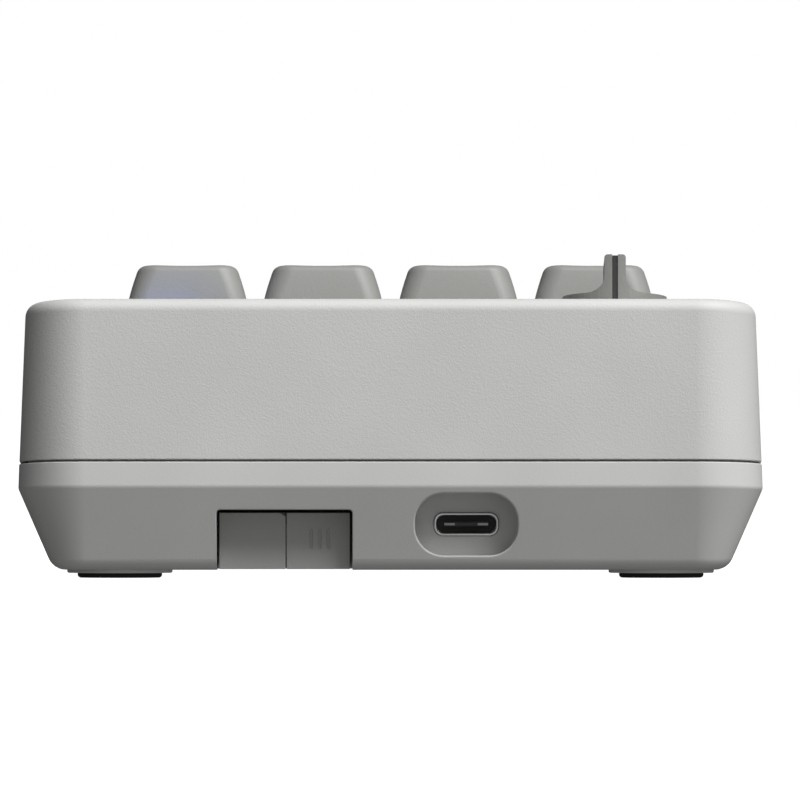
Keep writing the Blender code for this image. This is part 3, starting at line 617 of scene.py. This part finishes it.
def build_upper_case():
    middle = (0, FIELD_MIDDLE)
    collar = [
        box_ring(WELL_SIZE[0] + 3 * MM, WELL_SIZE[1] + 3 * MM, height, 2 * MM, middle)
        for height in (-6.2 * MM, -WALL / 2)
    ]
    screws = corner_places(SCREW_X, SCREW_Y)
    bosses = [
        cylinder_mesh(SCREW_BOSS, parting_level(y + SCREW_BOSS) + GAP, deck_level(y) - WALL / 2, (x, y), 32)
        for x, y in screws
    ]
    pilots = [cylinder_mesh(SCREW_RADIUS + GAP, 0, SCREW_TIP + GAP, place, 24) for place in screws]
    shaft_way = cylinder_mesh(SHAFT_RADIUS + GAP, -12 * MM, 1 * MM, (KNOB_X, STRIP_MIDDLE), 32)

    def well(offset, height):
        size = [side + 2 * offset for side in WELL_SIZE]
        return box_ring(*size, height, WELL_CORNER + offset, middle)

    def pocket(offset, height):
        return circle_ring(KNOB_RADIUS + POCKET_GAP + offset, height, (KNOB_X, STRIP_MIDDLE), 96)

    def light(offset, height):
        size = [side + 0.12 * MM + 2 * offset for side in LIGHT_SIZE]
        return box_ring(*size, height, 0.499 * min(size), (LIGHT_X, LIGHT_V))

    mesh = carved(
        "upper_case_shell",
        loft("upper", upper_outer()),
        [
            ("DIFFERENCE", loft("hollow", upper_hollow())),
            ("UNION", moved(loft("collar", collar), DECK)),
            ("UNION", joined(bosses)),
            ("DIFFERENCE", deck_hole(well, 0.7 * MM)),
            ("DIFFERENCE", deck_hole(pocket, 0.3 * MM, KNOB_POCKET)),
            ("DIFFERENCE", moved(shaft_way, DECK)),
            ("DIFFERENCE", deck_hole(light, 0.15 * MM)),
            ("DIFFERENCE", joined(pilots)),
        ],
    )
    piece("upper_case_shell", mesh, MATERIALS["case"], "case", ["upper_case"])


def taper_inset(y, z):
    """How far the tapering lower walls are set in at a height."""
    return (chamfer_level(y) - z) * math.tan(CHAMFER_ANGLE)


def lower_outer():
    """From the underside, round the bottom edge, up the taper and over its upper edge to the parting line."""
    slope = CHAMFER_ANGLE
    tangent = CASE_BOTTOM + BOTTOM_FILLET * (1 - math.sin(slope))
    rings = []
    for turn in arc(6, -math.pi / 2, -slope):
        rings.append(
            case_ring(
                lambda y, t=turn: taper_inset(y, tangent) + BOTTOM_FILLET * (math.cos(slope) - math.cos(t)),
                lambda y, t=turn: CASE_BOTTOM + BOTTOM_FILLET * (1 + math.sin(t)),
            )
        )
    lift = CHAMFER_FILLET * math.tan(slope / 2)
    for turn in arc(5, -slope, 0):
        rings.append(
            case_ring(
                lambda y, t=turn: CHAMFER_FILLET * (1 - math.cos(t)),
                lambda y, t=turn: chamfer_level(y) + lift + CHAMFER_FILLET * math.sin(t),
            )
        )
    for turn in arc(4):
        rings.append(
            case_ring(
                lambda y, t=turn: LOWER_STEP + PARTING_FILLET * (1 - math.cos(t)),
                lambda y, t=turn: parting_level(y) - GAP / 2 - PARTING_FILLET * (1 - math.sin(t)),
            )
        )
    return rings


def lower_additions():
    """Screw posts, foot bosses, rests for the circuit board, and the walls round the bay and the recess."""
    posts = [
        cylinder_mesh(SCREW_BOSS, 2 * MM, parting_level(y - SCREW_BOSS) - GAP, (x, y), 32)
        for x, y in corner_places(SCREW_X, SCREW_Y)
    ]
    bottom = CASE_BOTTOM - BOSS_DROP
    feet = [
        loft(
            "foot_boss",
            [
                circle_ring(BOSS_RADIUS - BOSS_EDGE, bottom, place),
                circle_ring(BOSS_RADIUS, bottom + BOSS_EDGE, place),
                circle_ring(BOSS_RADIUS, 2 * MM, place),
            ],
        )
        for place in corner_places(FOOT_X, FOOT_Y)
    ]
    wall = 1.2 * MM
    bay = back_block(BAY_LEFT - wall, BAY_RIGHT + wall, BACK_FACE - BAY_DEPTH - wall, BAY_TOP + wall)
    reach = RECESS_SIZE[0] / 2 + wall
    backing = back_block(SOCKET_X - reach, SOCKET_X + reach, BACK_FACE - 1.6 * MM, 13.2 * MM)
    under_board = BOARD_UNDER / math.cos(TYPING_ANGLE)
    half_x, half_y = REST_SIZE[0] / 2, REST_SIZE[1] / 2
    rests = [
        box_mesh(
            (x - half_x, y - half_y, 2 * MM),
            (x + half_x, y + half_y, deck_level(y - 3 * MM) + under_board),
        )
        for x, y in corner_places(REST_X, REST_Y)
    ]
    return posts + feet + rests + [bay, backing]


def back_block(left, right, front, top):
    """A block behind the tapering back wall, with its back inside the wall and as steep as the wall."""
    rings = []
    for height in (2 * MM, top):
        back = chamfer_plane(height) - 0.6 * MM
        corners = [(left, front), (right, front), (right, back), (left, back)]
        rings.append([Vector((x, y, height)) for x, y in corners])
    return loft("back_block", rings)


def back_cutter(outline, radius):
    """A flared cutter into the tapering back face, flat at BACK_FACE. outline(offset) gives (x, z) points."""

    def sheared(offset, depth):
        places = outline(offset)
        return [Vector((x, max(chamfer_plane(z), BACK_FACE + 2 * radius) - depth, z)) for x, z in places]

    rings = flared(sheared, [], radius)
    rings.append([Vector((x, BACK_FACE, z)) for x, z in outline(0)])
    return loft("back_cutter", rings)


def recess_outline(offset):
    half_x, half_z = RECESS_SIZE[0] / 2 + offset, RECESS_SIZE[1] / 2 + offset
    ring = rounded_outline(half_x, half_z, RECESS_CORNER + offset, 10)
    return [(SOCKET_X + p.x, RECESS_HEIGHT + p.y) for p, _ in ring]


def bay_outline(offset):
    """Open at the bottom, with small round corners at the top."""
    corner = 0.5 * MM + offset
    middle, half = (BAY_LEFT + BAY_RIGHT) / 2, (BAY_RIGHT - BAY_LEFT) / 2 + offset
    bottom = CASE_BOTTOM - 3 * MM
    top = BAY_TOP + offset
    centre = (bottom + top) / 2
    ring = rounded_outline(half, (top - bottom) / 2, corner, 5)
    return [(middle + p.x, centre + p.y) for p, _ in ring]


def build_lower_case():
    inner = [
        case_ring(lambda y: taper_inset(y, INNER_FLOOR) + WALL, lambda y: INNER_FLOOR),
        case_ring(lambda y: 0.25 * MM + WALL, lambda y: chamfer_level(y) - 0.6 * MM),
        case_ring(lambda y: WALL, lambda y: parting_level(y) + WALL),
    ]
    lip = [case_ring(lambda y: LIP_INSET, lambda y, d=d: parting_level(y) + d) for d in (-WALL, LIP_HEIGHT)]
    slack = 0.08 * MM
    throat_size = [side + 2 * slack for side in SOCKET_SIZE]
    throat_rings = [
        box_ring(*throat_size, height, SHELL_CORNER + slack, steps=12) for height in (-6 * MM, 1 * MM)
    ]
    throat = moved(loft("throat", throat_rings), facing_back(SOCKET_X, BACK_FACE, SOCKET_HEIGHT))
    bay_deep = box_mesh(
        (BAY_LEFT, BACK_FACE - BAY_DEPTH, -2 * MM),
        (BAY_RIGHT, BACK_FACE + 0.1 * MM, BAY_TOP),
    )
    screws = corner_places(SCREW_X, SCREW_Y)
    shanks = [cylinder_mesh(SCREW_RADIUS + GAP, 0, 30 * MM, place, 24) for place in screws]
    heads = [cylinder_mesh(HEAD_RADIUS + GAP, 0, HEAD_TOP + GAP, place, 32) for place in screws]
    pockets = [
        cylinder_mesh(PAD_RADIUS + 0.12 * MM, 0, FOOT_TOP + GAP, place)
        for place in corner_places(FOOT_X, FOOT_Y)
    ]
    mesh = carved(
        "lower_case_shell",
        loft("lower", lower_outer()),
        [
            ("UNION", loft("lip", lip)),
            ("DIFFERENCE", loft("hollow", inner)),
            ("UNION", joined(lower_additions())),
            ("DIFFERENCE", back_cutter(recess_outline, RECESS_EDGE)),
            ("DIFFERENCE", throat),
            ("DIFFERENCE", back_cutter(bay_outline, BAY_EDGE)),
            ("DIFFERENCE", bay_deep),
            ("DIFFERENCE", joined(shanks)),
            ("DIFFERENCE", joined(heads)),
            ("DIFFERENCE", joined(pockets)),
        ],
    )
    # Its material is lighter than the upper shell's: painted fill on the taper that faces down.
    piece("lower_case_shell", mesh, MATERIALS["lower_painted_fill"], "case", ["lower_case"])


def build_feet():
    edge = 0.45 * MM
    for place, corner in zip(corner_places(FOOT_X, FOOT_Y), CORNER_NAMES):
        rings = [circle_ring(PAD_RADIUS - edge - 0.8 * MM, 0, place, 64)]
        for turn in arc(6):
            radius = PAD_RADIUS - edge * (1 - math.sin(turn))
            rings.append(circle_ring(radius, edge * (1 - math.cos(turn)), place, 64))
        rings.append(circle_ring(PAD_RADIUS, FOOT_TOP, place, 64))
        node_name = f"rubber_foot_{corner}"
        mesh = loft("foot", rings)
        piece(f"foot_pad_{corner}", mesh, MATERIALS["rubber"], "case", [node_name])


def screw_rings(place):
    """From the head's low dome, over the head and along the thread to the tip."""
    profile = [
        (HEAD_RADIUS * 0.3, HEAD_BOTTOM),
        (HEAD_RADIUS * 0.8, HEAD_BOTTOM + HEAD_DOME * 0.4),
        (HEAD_RADIUS, HEAD_BOTTOM + HEAD_DOME * 1.4),
        (HEAD_RADIUS, HEAD_TOP),
        (SCREW_RADIUS, HEAD_TOP),
    ]
    level = HEAD_TOP + 0.6 * MM
    while level < SCREW_TIP - 1.5 * MM:
        profile.append((SCREW_RADIUS * 0.78, level))
        profile.append((SCREW_RADIUS, level + THREAD_PITCH / 2))
        level += THREAD_PITCH
    profile.append((SCREW_RADIUS * 0.4, SCREW_TIP))
    return [circle_ring(radius, height, place) for radius, height in profile]


def build_screws():
    for (x, y), corner in zip(corner_places(SCREW_X, SCREW_Y), CORNER_NAMES):
        arms = [
            box_mesh((x - a, y - b, 0), (x + a, y + b, HEAD_BOTTOM + 1.0 * MM))
            for a, b in ((1.5 * MM, 0.3 * MM), (0.3 * MM, 1.5 * MM))
        ]
        screw = loft("screw", screw_rings((x, y)))
        mesh = carved("screw", screw, [("DIFFERENCE", arms[0]), ("DIFFERENCE", arms[1])])
        node_name = f"case_screw_{corner}"
        piece(f"screw_{corner}", mesh, MATERIALS["screw"], "case", [node_name])


# Keys


def key_place(column, row):
    return ((column - (COLUMNS - 1) / 2) * PITCH, FIELD_BACK - (row + 0.5) * PITCH)


class Cap:
    """The shape of one keycap in its own frame, whose middle is the key's place on the deck."""

    def __init__(self, row, units_x, units_y):
        # A key between two rows has the profile of the one nearer the user.
        profile = round(row + 0.01)
        self.top = CAP_TOPS[profile]
        self.tilt = math.tan(math.radians(CAP_TILTS[profile]))
        self.extra = ((units_x - 1) * PITCH, (units_y - 1) * PITCH)
        self.straights = 3 + 6 * (units_x + units_y - 2)

    def ring(self, half, shift, height, corner, follow):
        """A ring with half sizes before the extra units. follow says how far it takes on the top's tilt."""
        half_x = half[0] + self.extra[0] / 2
        half_y = half[1] + self.extra[1] / 2
        points = rounded_outline(half_x, half_y, corner, 8, self.straights)
        return [Vector((p.x, p.y + shift, height + follow * self.tilt * p.y)) for p, _ in points]

    def side(self, share):
        """Ring on the side wall: share 0 is the mouth and 1 the start of the top's rounded edge."""
        bulge = 4 * share * (1 - share) * CAP_BULGE
        half_x = CAP_BASE / 2 + share * (CAP_EDGE_WIDTH - CAP_BASE) / 2 + bulge
        half_y = CAP_BASE / 2 + share * (CAP_EDGE_DEPTH - CAP_BASE) / 2 + bulge
        height = CAP_BOTTOM + share * (self.top - CAP_EDGE_DROP - CAP_BOTTOM)
        corner = (2.4 + 0.6 * share) * MM
        return self.ring((half_x, half_y), share * CAP_SHIFT, height, corner, share)

    def surface(self, x, y):
        """Height of the dished top at a place in the cap's frame."""
        half_x = CAP_EDGE_WIDTH / 2 - CAP_FILLET + self.extra[0] / 2
        half_y = CAP_EDGE_DEPTH / 2 - CAP_FILLET + self.extra[1] / 2
        from_middle = y - CAP_SHIFT
        across = max(0.0, 1 - (x / half_x) ** 2)
        along = max(0.0, 1 - (from_middle / half_y) ** 2)
        return self.top + self.tilt * from_middle - DISH * across * (0.45 + 0.55 * along)

    def outer_rings(self):
        rings = [self.ring((CAP_BASE / 2 - 0.3 * MM,) * 2, 0, CAP_BOTTOM, 2.1 * MM, 0)]
        rings += [self.side(share / 8) for share in range(9)]
        start = math.radians(15)
        for turn in arc(7, start, math.pi / 2)[1:]:
            inward = CAP_FILLET * (math.cos(start) - math.cos(turn))
            lift = CAP_EDGE_DROP * (math.sin(turn) - math.sin(start)) / (1 - math.sin(start))
            half = (CAP_EDGE_WIDTH / 2 - inward, CAP_EDGE_DEPTH / 2 - inward)
            height = self.top - CAP_EDGE_DROP + lift
            ring = self.ring(half, CAP_SHIFT, height, 3.0 * MM - 0.6 * inward, 1)
            blend = math.sin(turn) ** 6
            for point in ring:
                flat = self.top + self.tilt * (point.y - CAP_SHIFT)
                point.z += blend * (self.surface(point.x, point.y) - flat)
            rings.append(ring)
        rim = rings[-1]
        for share in (0.9, 0.78, 0.64, 0.5, 0.36, 0.22, 0.1, 0.03):
            inner = []
            for point in rim:
                x = point.x * share
                y = CAP_SHIFT + (point.y - CAP_SHIFT) * share
                inner.append(Vector((x, y, self.surface(x, y))))
            rings.append(inner)
        return rings

    def inner_rings(self):
        thin = CAP_WALL
        ceiling = (CAP_EDGE_WIDTH / 2 - thin, CAP_EDGE_DEPTH / 2 - thin)
        mouth = (CAP_BASE / 2 - thin,) * 2
        return [
            self.ring(ceiling, CAP_SHIFT, self.top - 1.6 * MM, 1.2 * MM, 1),
            self.ring(mouth, 0, CAP_BOTTOM, 1.0 * MM, 0),
        ]

    def mesh(self):
        """The cap's shell with the cross socket post inside it."""
        shell = loft("cap", self.inner_rings() + self.outer_rings())
        post_bottom, post_top = 0.5 * MM, self.top - 1.4 * MM
        half = 2.25 * MM
        wall = [
            circle_ring(2.6 * MM, post_bottom, steps=24),
            circle_ring(2.6 * MM, post_top, steps=24),
            circle_ring(half, post_top, steps=24),
            circle_ring(half, post_bottom, steps=24),
        ]
        return joined([shell, loft("post", wall, close=True)])


def stroke(points, width):
    """A flat ribbon through points in the plane, as quads."""
    quads = []
    for start, end in zip(points, points[1:]):
        a, b = Vector(start), Vector(end)
        along = (b - a).normalized() * width / 2
        across = Vector((-along.y, along.x))
        quads.append([a - along + across, a - along - across, b + along - across, b + along + across])
    return quads


def legend_quads(kind):
    """Simple signs made of straight strokes."""
    reach = 1.9 * MM
    signs = {
        "plus": [[(-reach, 0), (reach, 0)], [(0, -reach), (0, reach)]],
        "minus": [[(-reach, 0), (reach, 0)]],
        "times": [[(-0.72 * reach, -0.72 * reach), (0.72 * reach, 0.72 * reach)],
                  [(-0.72 * reach, 0.72 * reach), (0.72 * reach, -0.72 * reach)]],
        "point": [[(0, -reach), (0, -0.98 * reach)]],
        "return": [[(1.2 * reach, 1.1 * reach), (1.2 * reach, 0), (-1.1 * reach, 0)],
                   [(-0.45 * reach, 0.65 * reach), (-1.1 * reach, 0), (-0.45 * reach, -0.65 * reach)]],
    }
    return [quad for line in signs[kind] for quad in stroke(line, LEGEND_STROKE)]


def legend_outline(kind):
    """A flat mesh of the legend, centred on the origin."""
    shape = bmesh.new()
    if len(kind) > 1:
        for quad in legend_quads(kind):
            shape.faces.new([shape.verts.new((p.x, p.y, 0)) for p in quad])
        made = bpy.data.meshes.new("legend")
        shape.to_mesh(made)
        shape.free()
        return made
    shape.free()
    text = bpy.data.curves.new("legend", "FONT")
    text.body = kind
    text.size = LEGEND_SIZE
    text.align_x = "CENTER"
    text.align_y = "CENTER"
    text.fill_mode = "FRONT"
    text.resolution_u = 6
    holder = put("legend_text", text)
    made = evaluated_mesh(holder)
    bpy.data.objects.remove(holder)
    low = [min(v.co[i] for v in made.vertices) for i in (0, 1)]
    high = [max(v.co[i] for v in made.vertices) for i in (0, 1)]
    made.transform(Matrix.Translation((-(low[0] + high[0]) / 2, -(low[1] + high[1]) / 2, 0)))
    return made


def build_legend(name, kind, cap, matrix, body, dark):
    mesh = legend_outline(kind)
    shape = bmesh.new()
    shape.from_mesh(mesh)
    faces = bmesh.ops.extrude_face_region(shape, geom=shape.faces[:])
    lifted = [v for v in faces["geom"] if isinstance(v, bmesh.types.BMVert)]
    base = set(shape.verts) - set(lifted)
    for vertex in shape.verts:
        y = vertex.co.y + CAP_SHIFT
        level = cap.surface(vertex.co.x, y)
        proud = LEGEND_PROUD if vertex not in base else -0.1 * MM
        vertex.co = Vector((vertex.co.x, y, level + proud))
    bmesh.ops.recalc_face_normals(shape, faces=shape.faces)
    made = bpy.data.meshes.new("legend")
    shape.to_mesh(made)
    shape.free()
    made.transform(matrix)
    material = MATERIALS["legend_light" if dark else "legend_dark"]
    piece(f"legend_{name}", made, material, body, weighted=False)


def build_keys():
    for name, column, row, units_x, units_y, legend, dark in KEYS:
        cap = Cap(row, units_x, units_y)
        matrix = DECK @ Matrix.Translation((*key_place(column, row), 0))
        tone = "dark" if dark else "light"
        body = f"key_{name}"
        cap_mesh = moved(cap.mesh(), matrix)
        material = MATERIALS[f"cap_{tone}"]
        piece(f"cap_{name}", cap_mesh, material, body, [f"keycap_{name}"], 40)
        build_legend(name, legend, cap, matrix, body, dark)


# Selector and status light


def knob_section():
    """Section across the knob: flat disc, hollow curves up from it and the straight-sided grip.

    It goes down one side, past the disc's rim and bottom, and up the other side."""
    half = GRIP_WIDTH / 2
    side = [(half - GRIP_EDGE * (1 - math.cos(t)), GRIP_TOP - GRIP_EDGE * (1 - math.sin(t))) for t in arc(6)]
    side.reverse()
    for turn in arc(20):
        across = half + FLARE_REACH * (1 - math.cos(turn))
        side.append((across, KNOB_TOP + FLARE_HEIGHT * (1 - math.sin(turn))))
    side.append((KNOB_RADIUS + 1 * MM, KNOB_TOP))
    side.append((KNOB_RADIUS + 1 * MM, KNOB_BOTTOM - 1 * MM))
    return [(-x, z) for x, z in side] + [(x, z) for x, z in reversed(side)]


def slot_meshes(margin):
    """The pointer slot along the grip's back half and down its end, or its filling if margin isn't zero."""
    half = SLOT_WIDTH / 2 - margin
    over = 1 * MM if margin == 0 else -0.15 * MM
    low = GRIP_TOP - SLOT_DEPTH - margin
    far = KNOB_RADIUS + over
    along = box_mesh((-half, SLOT_START + margin, low), (half, far, GRIP_TOP + over))
    bottom = KNOB_BOTTOM - 1 * MM if margin == 0 else KNOB_BOTTOM + 0.3 * MM
    down = box_mesh((-half, KNOB_RADIUS - SLOT_DEPTH - margin, bottom), (half, far, GRIP_TOP + over))
    return along, down


def build_selector():
    """The knob is a bar of the section above, turned down to a disc's outline and bevelled."""
    place = DECK @ Matrix.Translation((KNOB_X, STRIP_MIDDLE, 0))
    reach = KNOB_RADIUS + 1 * MM
    bar = loft("bar", [[Vector((x, y, z)) for x, z in knob_section()] for y in (-reach, reach)])
    turned = cylinder_mesh(KNOB_RADIUS, KNOB_BOTTOM, GRIP_TOP + 1 * MM, steps=144)
    mesh = bevelled(carved("knob", bar, [("INTERSECT", turned)]), KNOB_EDGE, 4, 50)
    along, down = slot_meshes(0)
    socket = cylinder_mesh(SHAFT_RADIUS + GAP, KNOB_BOTTOM - 1 * MM, 1 * MM)
    cuts = [("DIFFERENCE", along), ("DIFFERENCE", down), ("DIFFERENCE", socket)]
    mesh = moved(carved("knob", mesh, cuts), place)
    piece("selector_knob", mesh, MATERIALS["knob"], "selector", ["mode_knob"], 40)
    along, down = slot_meshes(0.02 * MM)
    fill = moved(carved("pointer", along, [("UNION", down)]), place)
    piece("pointer_line", fill, MATERIALS["pointer"], "selector", weighted=False)
    NODES["selector_shaft"].data.materials.clear()
    NODES["selector_shaft"].data.materials.append(MATERIALS["steel"])


def build_ticks():
    """Three printed marks on the deck for the selector's positions."""
    near, far = KNOB_RADIUS + 1.2 * MM, KNOB_RADIUS + 2.6 * MM
    for number, degrees in enumerate((-45, 0, 45)):
        turn = Matrix.Rotation(math.radians(degrees), 4, "Z")
        mark = box_mesh((-0.3 * MM, near, -0.1 * MM), (0.3 * MM, far, 0.015 * MM))
        place = DECK @ Matrix.Translation((KNOB_X, STRIP_MIDDLE, 0)) @ turn
        piece(f"position_mark_{number}", moved(mark, place), MATERIALS["pointer"], "case")


def build_status_light():
    """A light pipe: a stalk from the LED and a rounded window in the deck."""
    middle = (LIGHT_X, LIGHT_V)
    edge = 0.3 * MM
    stalk_size = (LIGHT_SIZE[0] - 3 * MM, 1.8 * MM)
    rings = [box_ring(*stalk_size, height, 0.8 * MM, middle) for height in (-10.2 * MM, -WALL)]
    rings.append(box_ring(*LIGHT_SIZE, -WALL + 0.4 * MM, 0.499 * LIGHT_SIZE[1], middle))
    for turn in arc(5):
        size = [side - 2 * edge * (1 - math.cos(turn)) for side in LIGHT_SIZE]
        rings.append(box_ring(*size, 0.25 * MM - edge * (1 - math.sin(turn)), 0.499 * size[1], middle))
    lens = moved(loft("lens", rings), DECK)
    piece("status_light_lens", lens, MATERIALS["lens"], "case", ["status_lens"])


# Socket and receiver


def build_socket_shell(place):
    """Drawn steel sleeve with a rounded lip, open at the back."""
    lip = 0.12 * MM

    def ring(inset, level):
        size = [side - 2 * inset for side in SOCKET_SIZE]
        return box_ring(*size, level, SHELL_CORNER - 0.6 * inset, steps=12)

    rings = [ring(0, 0)]
    for turn in arc(4):
        rings.append(ring(lip * (1 - math.cos(turn)), SOCKET_LENGTH - lip * (1 - math.sin(turn))))
    for turn in arc(4)[1:]:
        level = SOCKET_LENGTH - lip * (1 - math.cos(turn))
        rings.append(ring(SHELL_WALL - lip * (1 - math.sin(turn)), level))
    rings.append(ring(SHELL_WALL, 0.6 * MM))
    shell = moved(loft("socket_shell", rings), place)
    piece("socket_shell", shell, MATERIALS["steel"], "case", ["usb_shell"])


def build_tongue(place):
    """Root that fills the sleeve's far end, a flat blade and its bevelled tip."""
    root_size = [side - 2 * SHELL_WALL - 0.1 * MM for side in SOCKET_SIZE]
    rings = [box_ring(*root_size, height, 1.2 * MM) for height in (0.65 * MM, TONGUE_START)]
    blade_end = SOCKET_LENGTH - 1.3 * MM
    rings += [box_ring(6.2 * MM, 0.7 * MM, height, 0.15 * MM) for height in (TONGUE_START, blade_end)]
    rings.append(box_ring(6.0 * MM, 0.45 * MM, blade_end + 0.15 * MM, 0.1 * MM))
    tongue = moved(loft("tongue", rings), place)
    piece("socket_tongue", tongue, MATERIALS["black"], "case", ["usb_tongue"])


def build_midplate(place):
    """The two steel ends that show at the tongue's tip."""
    half = 0.16 * MM
    start, end = SOCKET_LENGTH - 2 * MM, SOCKET_LENGTH - 1.1 * MM
    ends = [
        box_mesh((left, -half, start), (left + 1.45 * MM, half, end)) for left in (-3.05 * MM, 1.6 * MM)
    ]
    midplate = moved(joined(ends), place)
    piece("socket_midplate", midplate, MATERIALS["dull_steel"], "case", weighted=False)


def build_contacts(place):
    """Twelve flat contacts on each face of the tongue."""
    half = 0.13 * MM
    start, end = TONGUE_START + 0.2 * MM, SOCKET_LENGTH - 2.4 * MM
    pads = []
    for low, high in ((-0.36 * MM, -0.35 * MM), (0.35 * MM, 0.36 * MM)):
        for index in range(12):
            x = (index - 5.5) * 0.5 * MM
            pads.append(box_mesh((x - half, low, start), (x + half, high, end)))
    contacts = moved(joined(pads), place)
    piece("socket_contacts", contacts, MATERIALS["gold"], "case", weighted=False)


def build_socket():
    place = facing_back(SOCKET_X, SOCKET_LOW.y, SOCKET_HEIGHT)
    build_socket_shell(place)
    build_tongue(place)
    build_midplate(place)
    build_contacts(place)


def receiver_ribs(place):
    """Three short grooves to grip the receiver by."""
    ribs = []
    for index in (-1, 0, 1):
        middle = (index * 1.2 * MM, 0)
        rings = [box_ring(0.5 * MM, 2.8 * MM, depth, 0.24 * MM, middle) for depth in (-0.2 * MM, 1 * MM)]
        ribs.append(loft("rib", rings))
    return moved(joined(ribs), place)


def build_receiver():
    """Body and plug cover as two blocks, with grip grooves on the body and a nail notch on the cover."""
    seam = 0.09 * MM
    low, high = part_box("receiver_body")
    high.x += seam
    middle = (low.y + high.y) / 2
    centre = (low.z + high.z) / 2
    reach, rise = PLUG_ROOM[0] / 2, PLUG_ROOM[1] / 2
    seat = box_mesh(
        (high.x - 3.3 * MM, middle - reach, centre - rise),
        (high.x + 1 * MM, middle + reach, centre + rise),
    )
    body = bevelled(carved("body", box_mesh(low, high), [("DIFFERENCE", seat)]), 0.12 * MM)
    ribs = receiver_ribs(facing_back((low.x + high.x) / 2 - 0.2 * MM, high.y, centre + 0.3 * MM))
    body = carved("body", body, [("DIFFERENCE", ribs)])
    # This material holds painted shade: darker than the case's grey, for the shade in the bay.
    plastic = MATERIALS["receiver"]
    piece("receiver_housing", body, plastic, "receiver", ["receiver_body"])
    low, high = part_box("receiver_cover")
    low.x -= seam
    hollow = box_mesh(
        (low.x - 1 * MM, middle - reach, centre - rise),
        (high.x - 1.2 * MM, middle + reach, centre + rise),
    )
    corners = [(-0.2, 0.2), (0.85, 0.2), (0.75, 0), (0.15, -0.42), (-0.2, -0.42)]
    rings = [
        [Vector((low.x + x * MM, y, high.z + z * MM)) for x, z in corners]
        for y in (high.y - 1.2 * MM, high.y + 1 * MM)
    ]
    cuts = [("DIFFERENCE", hollow), ("DIFFERENCE", loft("notch", rings))]
    cover = bevelled(carved("cover", box_mesh(low, high), cuts), 0.1 * MM)
    piece("receiver_plug_cover", cover, plastic, "receiver", ["receiver_cover"])


def dress_nodes():
    """Inner pieces keep their CAD shape and take a finished material."""
    finishes = {
        "switch_plate": "plate",
        "main_board": "board",
        "usb_board": "board",
        "damping_pad": "silicone",
        "battery_pack": "battery",
        "selector_switch": "black",
        "status_led": "led",
        "receiver_plug": "steel",
        "receiver_magnet": "steel",
    }
    finishes.update({f"switch_stem_{key[0]}": "stem" for key in KEYS})
    for name, finish in finishes.items():
        mesh = NODES[name].data
        mesh.materials.clear()
        mesh.materials.append(MATERIALS[finish])


# Studio


def aim(obj, target):
    obj.rotation_mode = "QUATERNION"
    obj.rotation_quaternion = (Vector(target) - obj.location).to_track_quat("-Z", "Y")


def build_camera():
    data = bpy.data.cameras.new("camera")
    data.sensor_width = SENSOR
    data.lens = SENSOR * CAMERA_DISTANCE / FRAME_WIDTH
    data.clip_start = 0.1
    data.clip_end = 100
    camera = bpy.data.objects.new("camera", data)
    bpy.context.scene.collection.objects.link(camera)
    camera.location = (AIM_X, HALF_DEPTH + CAMERA_DISTANCE, AIM_HEIGHT)
    aim(camera, (AIM_X, 0, AIM_HEIGHT))
    bpy.context.scene.camera = camera


def build_floor():
    """A white floor that the object's surfaces don't pick up."""
    floor = put("floor", loft("floor", [rectangle(60, 60, height) for height in (-0.01, 0)]))
    material, tree, shader = base_material("floor_paint", 0.9)
    tinted(tree, shader, (0.5, 0.5, 0.5), 0.01, 3)
    shader.inputs["Emission Color"].default_value = (1, 1, 1, 1)
    shader.inputs["Emission Strength"].default_value = 1.0
    floor.data.materials.append(material)
    floor.visible_diffuse = False
    floor.visible_glossy = False


def build_world():
    """The camera sees white. The light on the object is stronger from -X and from +Y."""
    world = bpy.data.worlds.new("studio")
    bpy.context.scene.world = world
    world.use_nodes = True
    tree = world.node_tree
    background = tree.nodes["Background"]
    output = tree.nodes["World Output"]
    white = node(tree, "ShaderNodeBackground", Strength=1.0)
    white.inputs["Color"].default_value = (1, 1, 1, 1)
    background.inputs["Color"].default_value = (1, 1, 1, 1)
    way = node(tree, "ShaderNodeTexCoord")
    axes = node(tree, "ShaderNodeSeparateXYZ")
    link(tree, way, "Generated", axes, "Vector")
    across = node(tree, "ShaderNodeMapRange")
    for name, value in (("From Min", -1), ("From Max", 1), ("To Min", 1.15), ("To Max", 0.45)):
        across.inputs[name].default_value = value
    link(tree, axes, "X", across, "Value")
    along = node(tree, "ShaderNodeMapRange")
    for name, value in (("From Min", -0.6), ("From Max", 0.7), ("To Min", 0.07), ("To Max", 0.385)):
        along.inputs[name].default_value = value
    link(tree, axes, "Y", along, "Value")
    ambient = node(tree, "ShaderNodeMath", operation="MULTIPLY")
    link(tree, across, "Result", ambient, 0)
    link(tree, along, "Result", ambient, 1)
    link(tree, ambient, "Value", background, "Strength")
    rays = node(tree, "ShaderNodeLightPath")
    mix = node(tree, "ShaderNodeMixShader")
    link(tree, rays, "Is Camera Ray", mix, "Fac")
    tree.links.new(background.outputs[0], mix.inputs[1])
    tree.links.new(white.outputs[0], mix.inputs[2])
    tree.links.new(mix.outputs[0], output.inputs["Surface"])


def build_key_light():
    """One large soft light, high up on the -X side of the camera."""
    data = bpy.data.lights.new("key_light", "AREA")
    data.shape = "RECTANGLE"
    data.size = LIGHT_WIDTH
    data.size_y = LIGHT_WIDTH
    data.energy = LIGHT_POWER
    light = bpy.data.objects.new("key_light", data)
    bpy.context.scene.collection.objects.link(light)
    light.location = LIGHT_PLACE
    aim(light, LIGHT_TARGET)


def build_studio():
    build_camera()
    build_floor()
    build_world()
    build_key_light()
    bpy.context.scene.view_settings.view_transform = "Standard"


build_upper_case()
build_lower_case()
build_feet()
build_screws()
build_keys()
build_selector()
build_ticks()
build_status_light()
build_socket()
build_receiver()
dress_nodes()
build_studio()
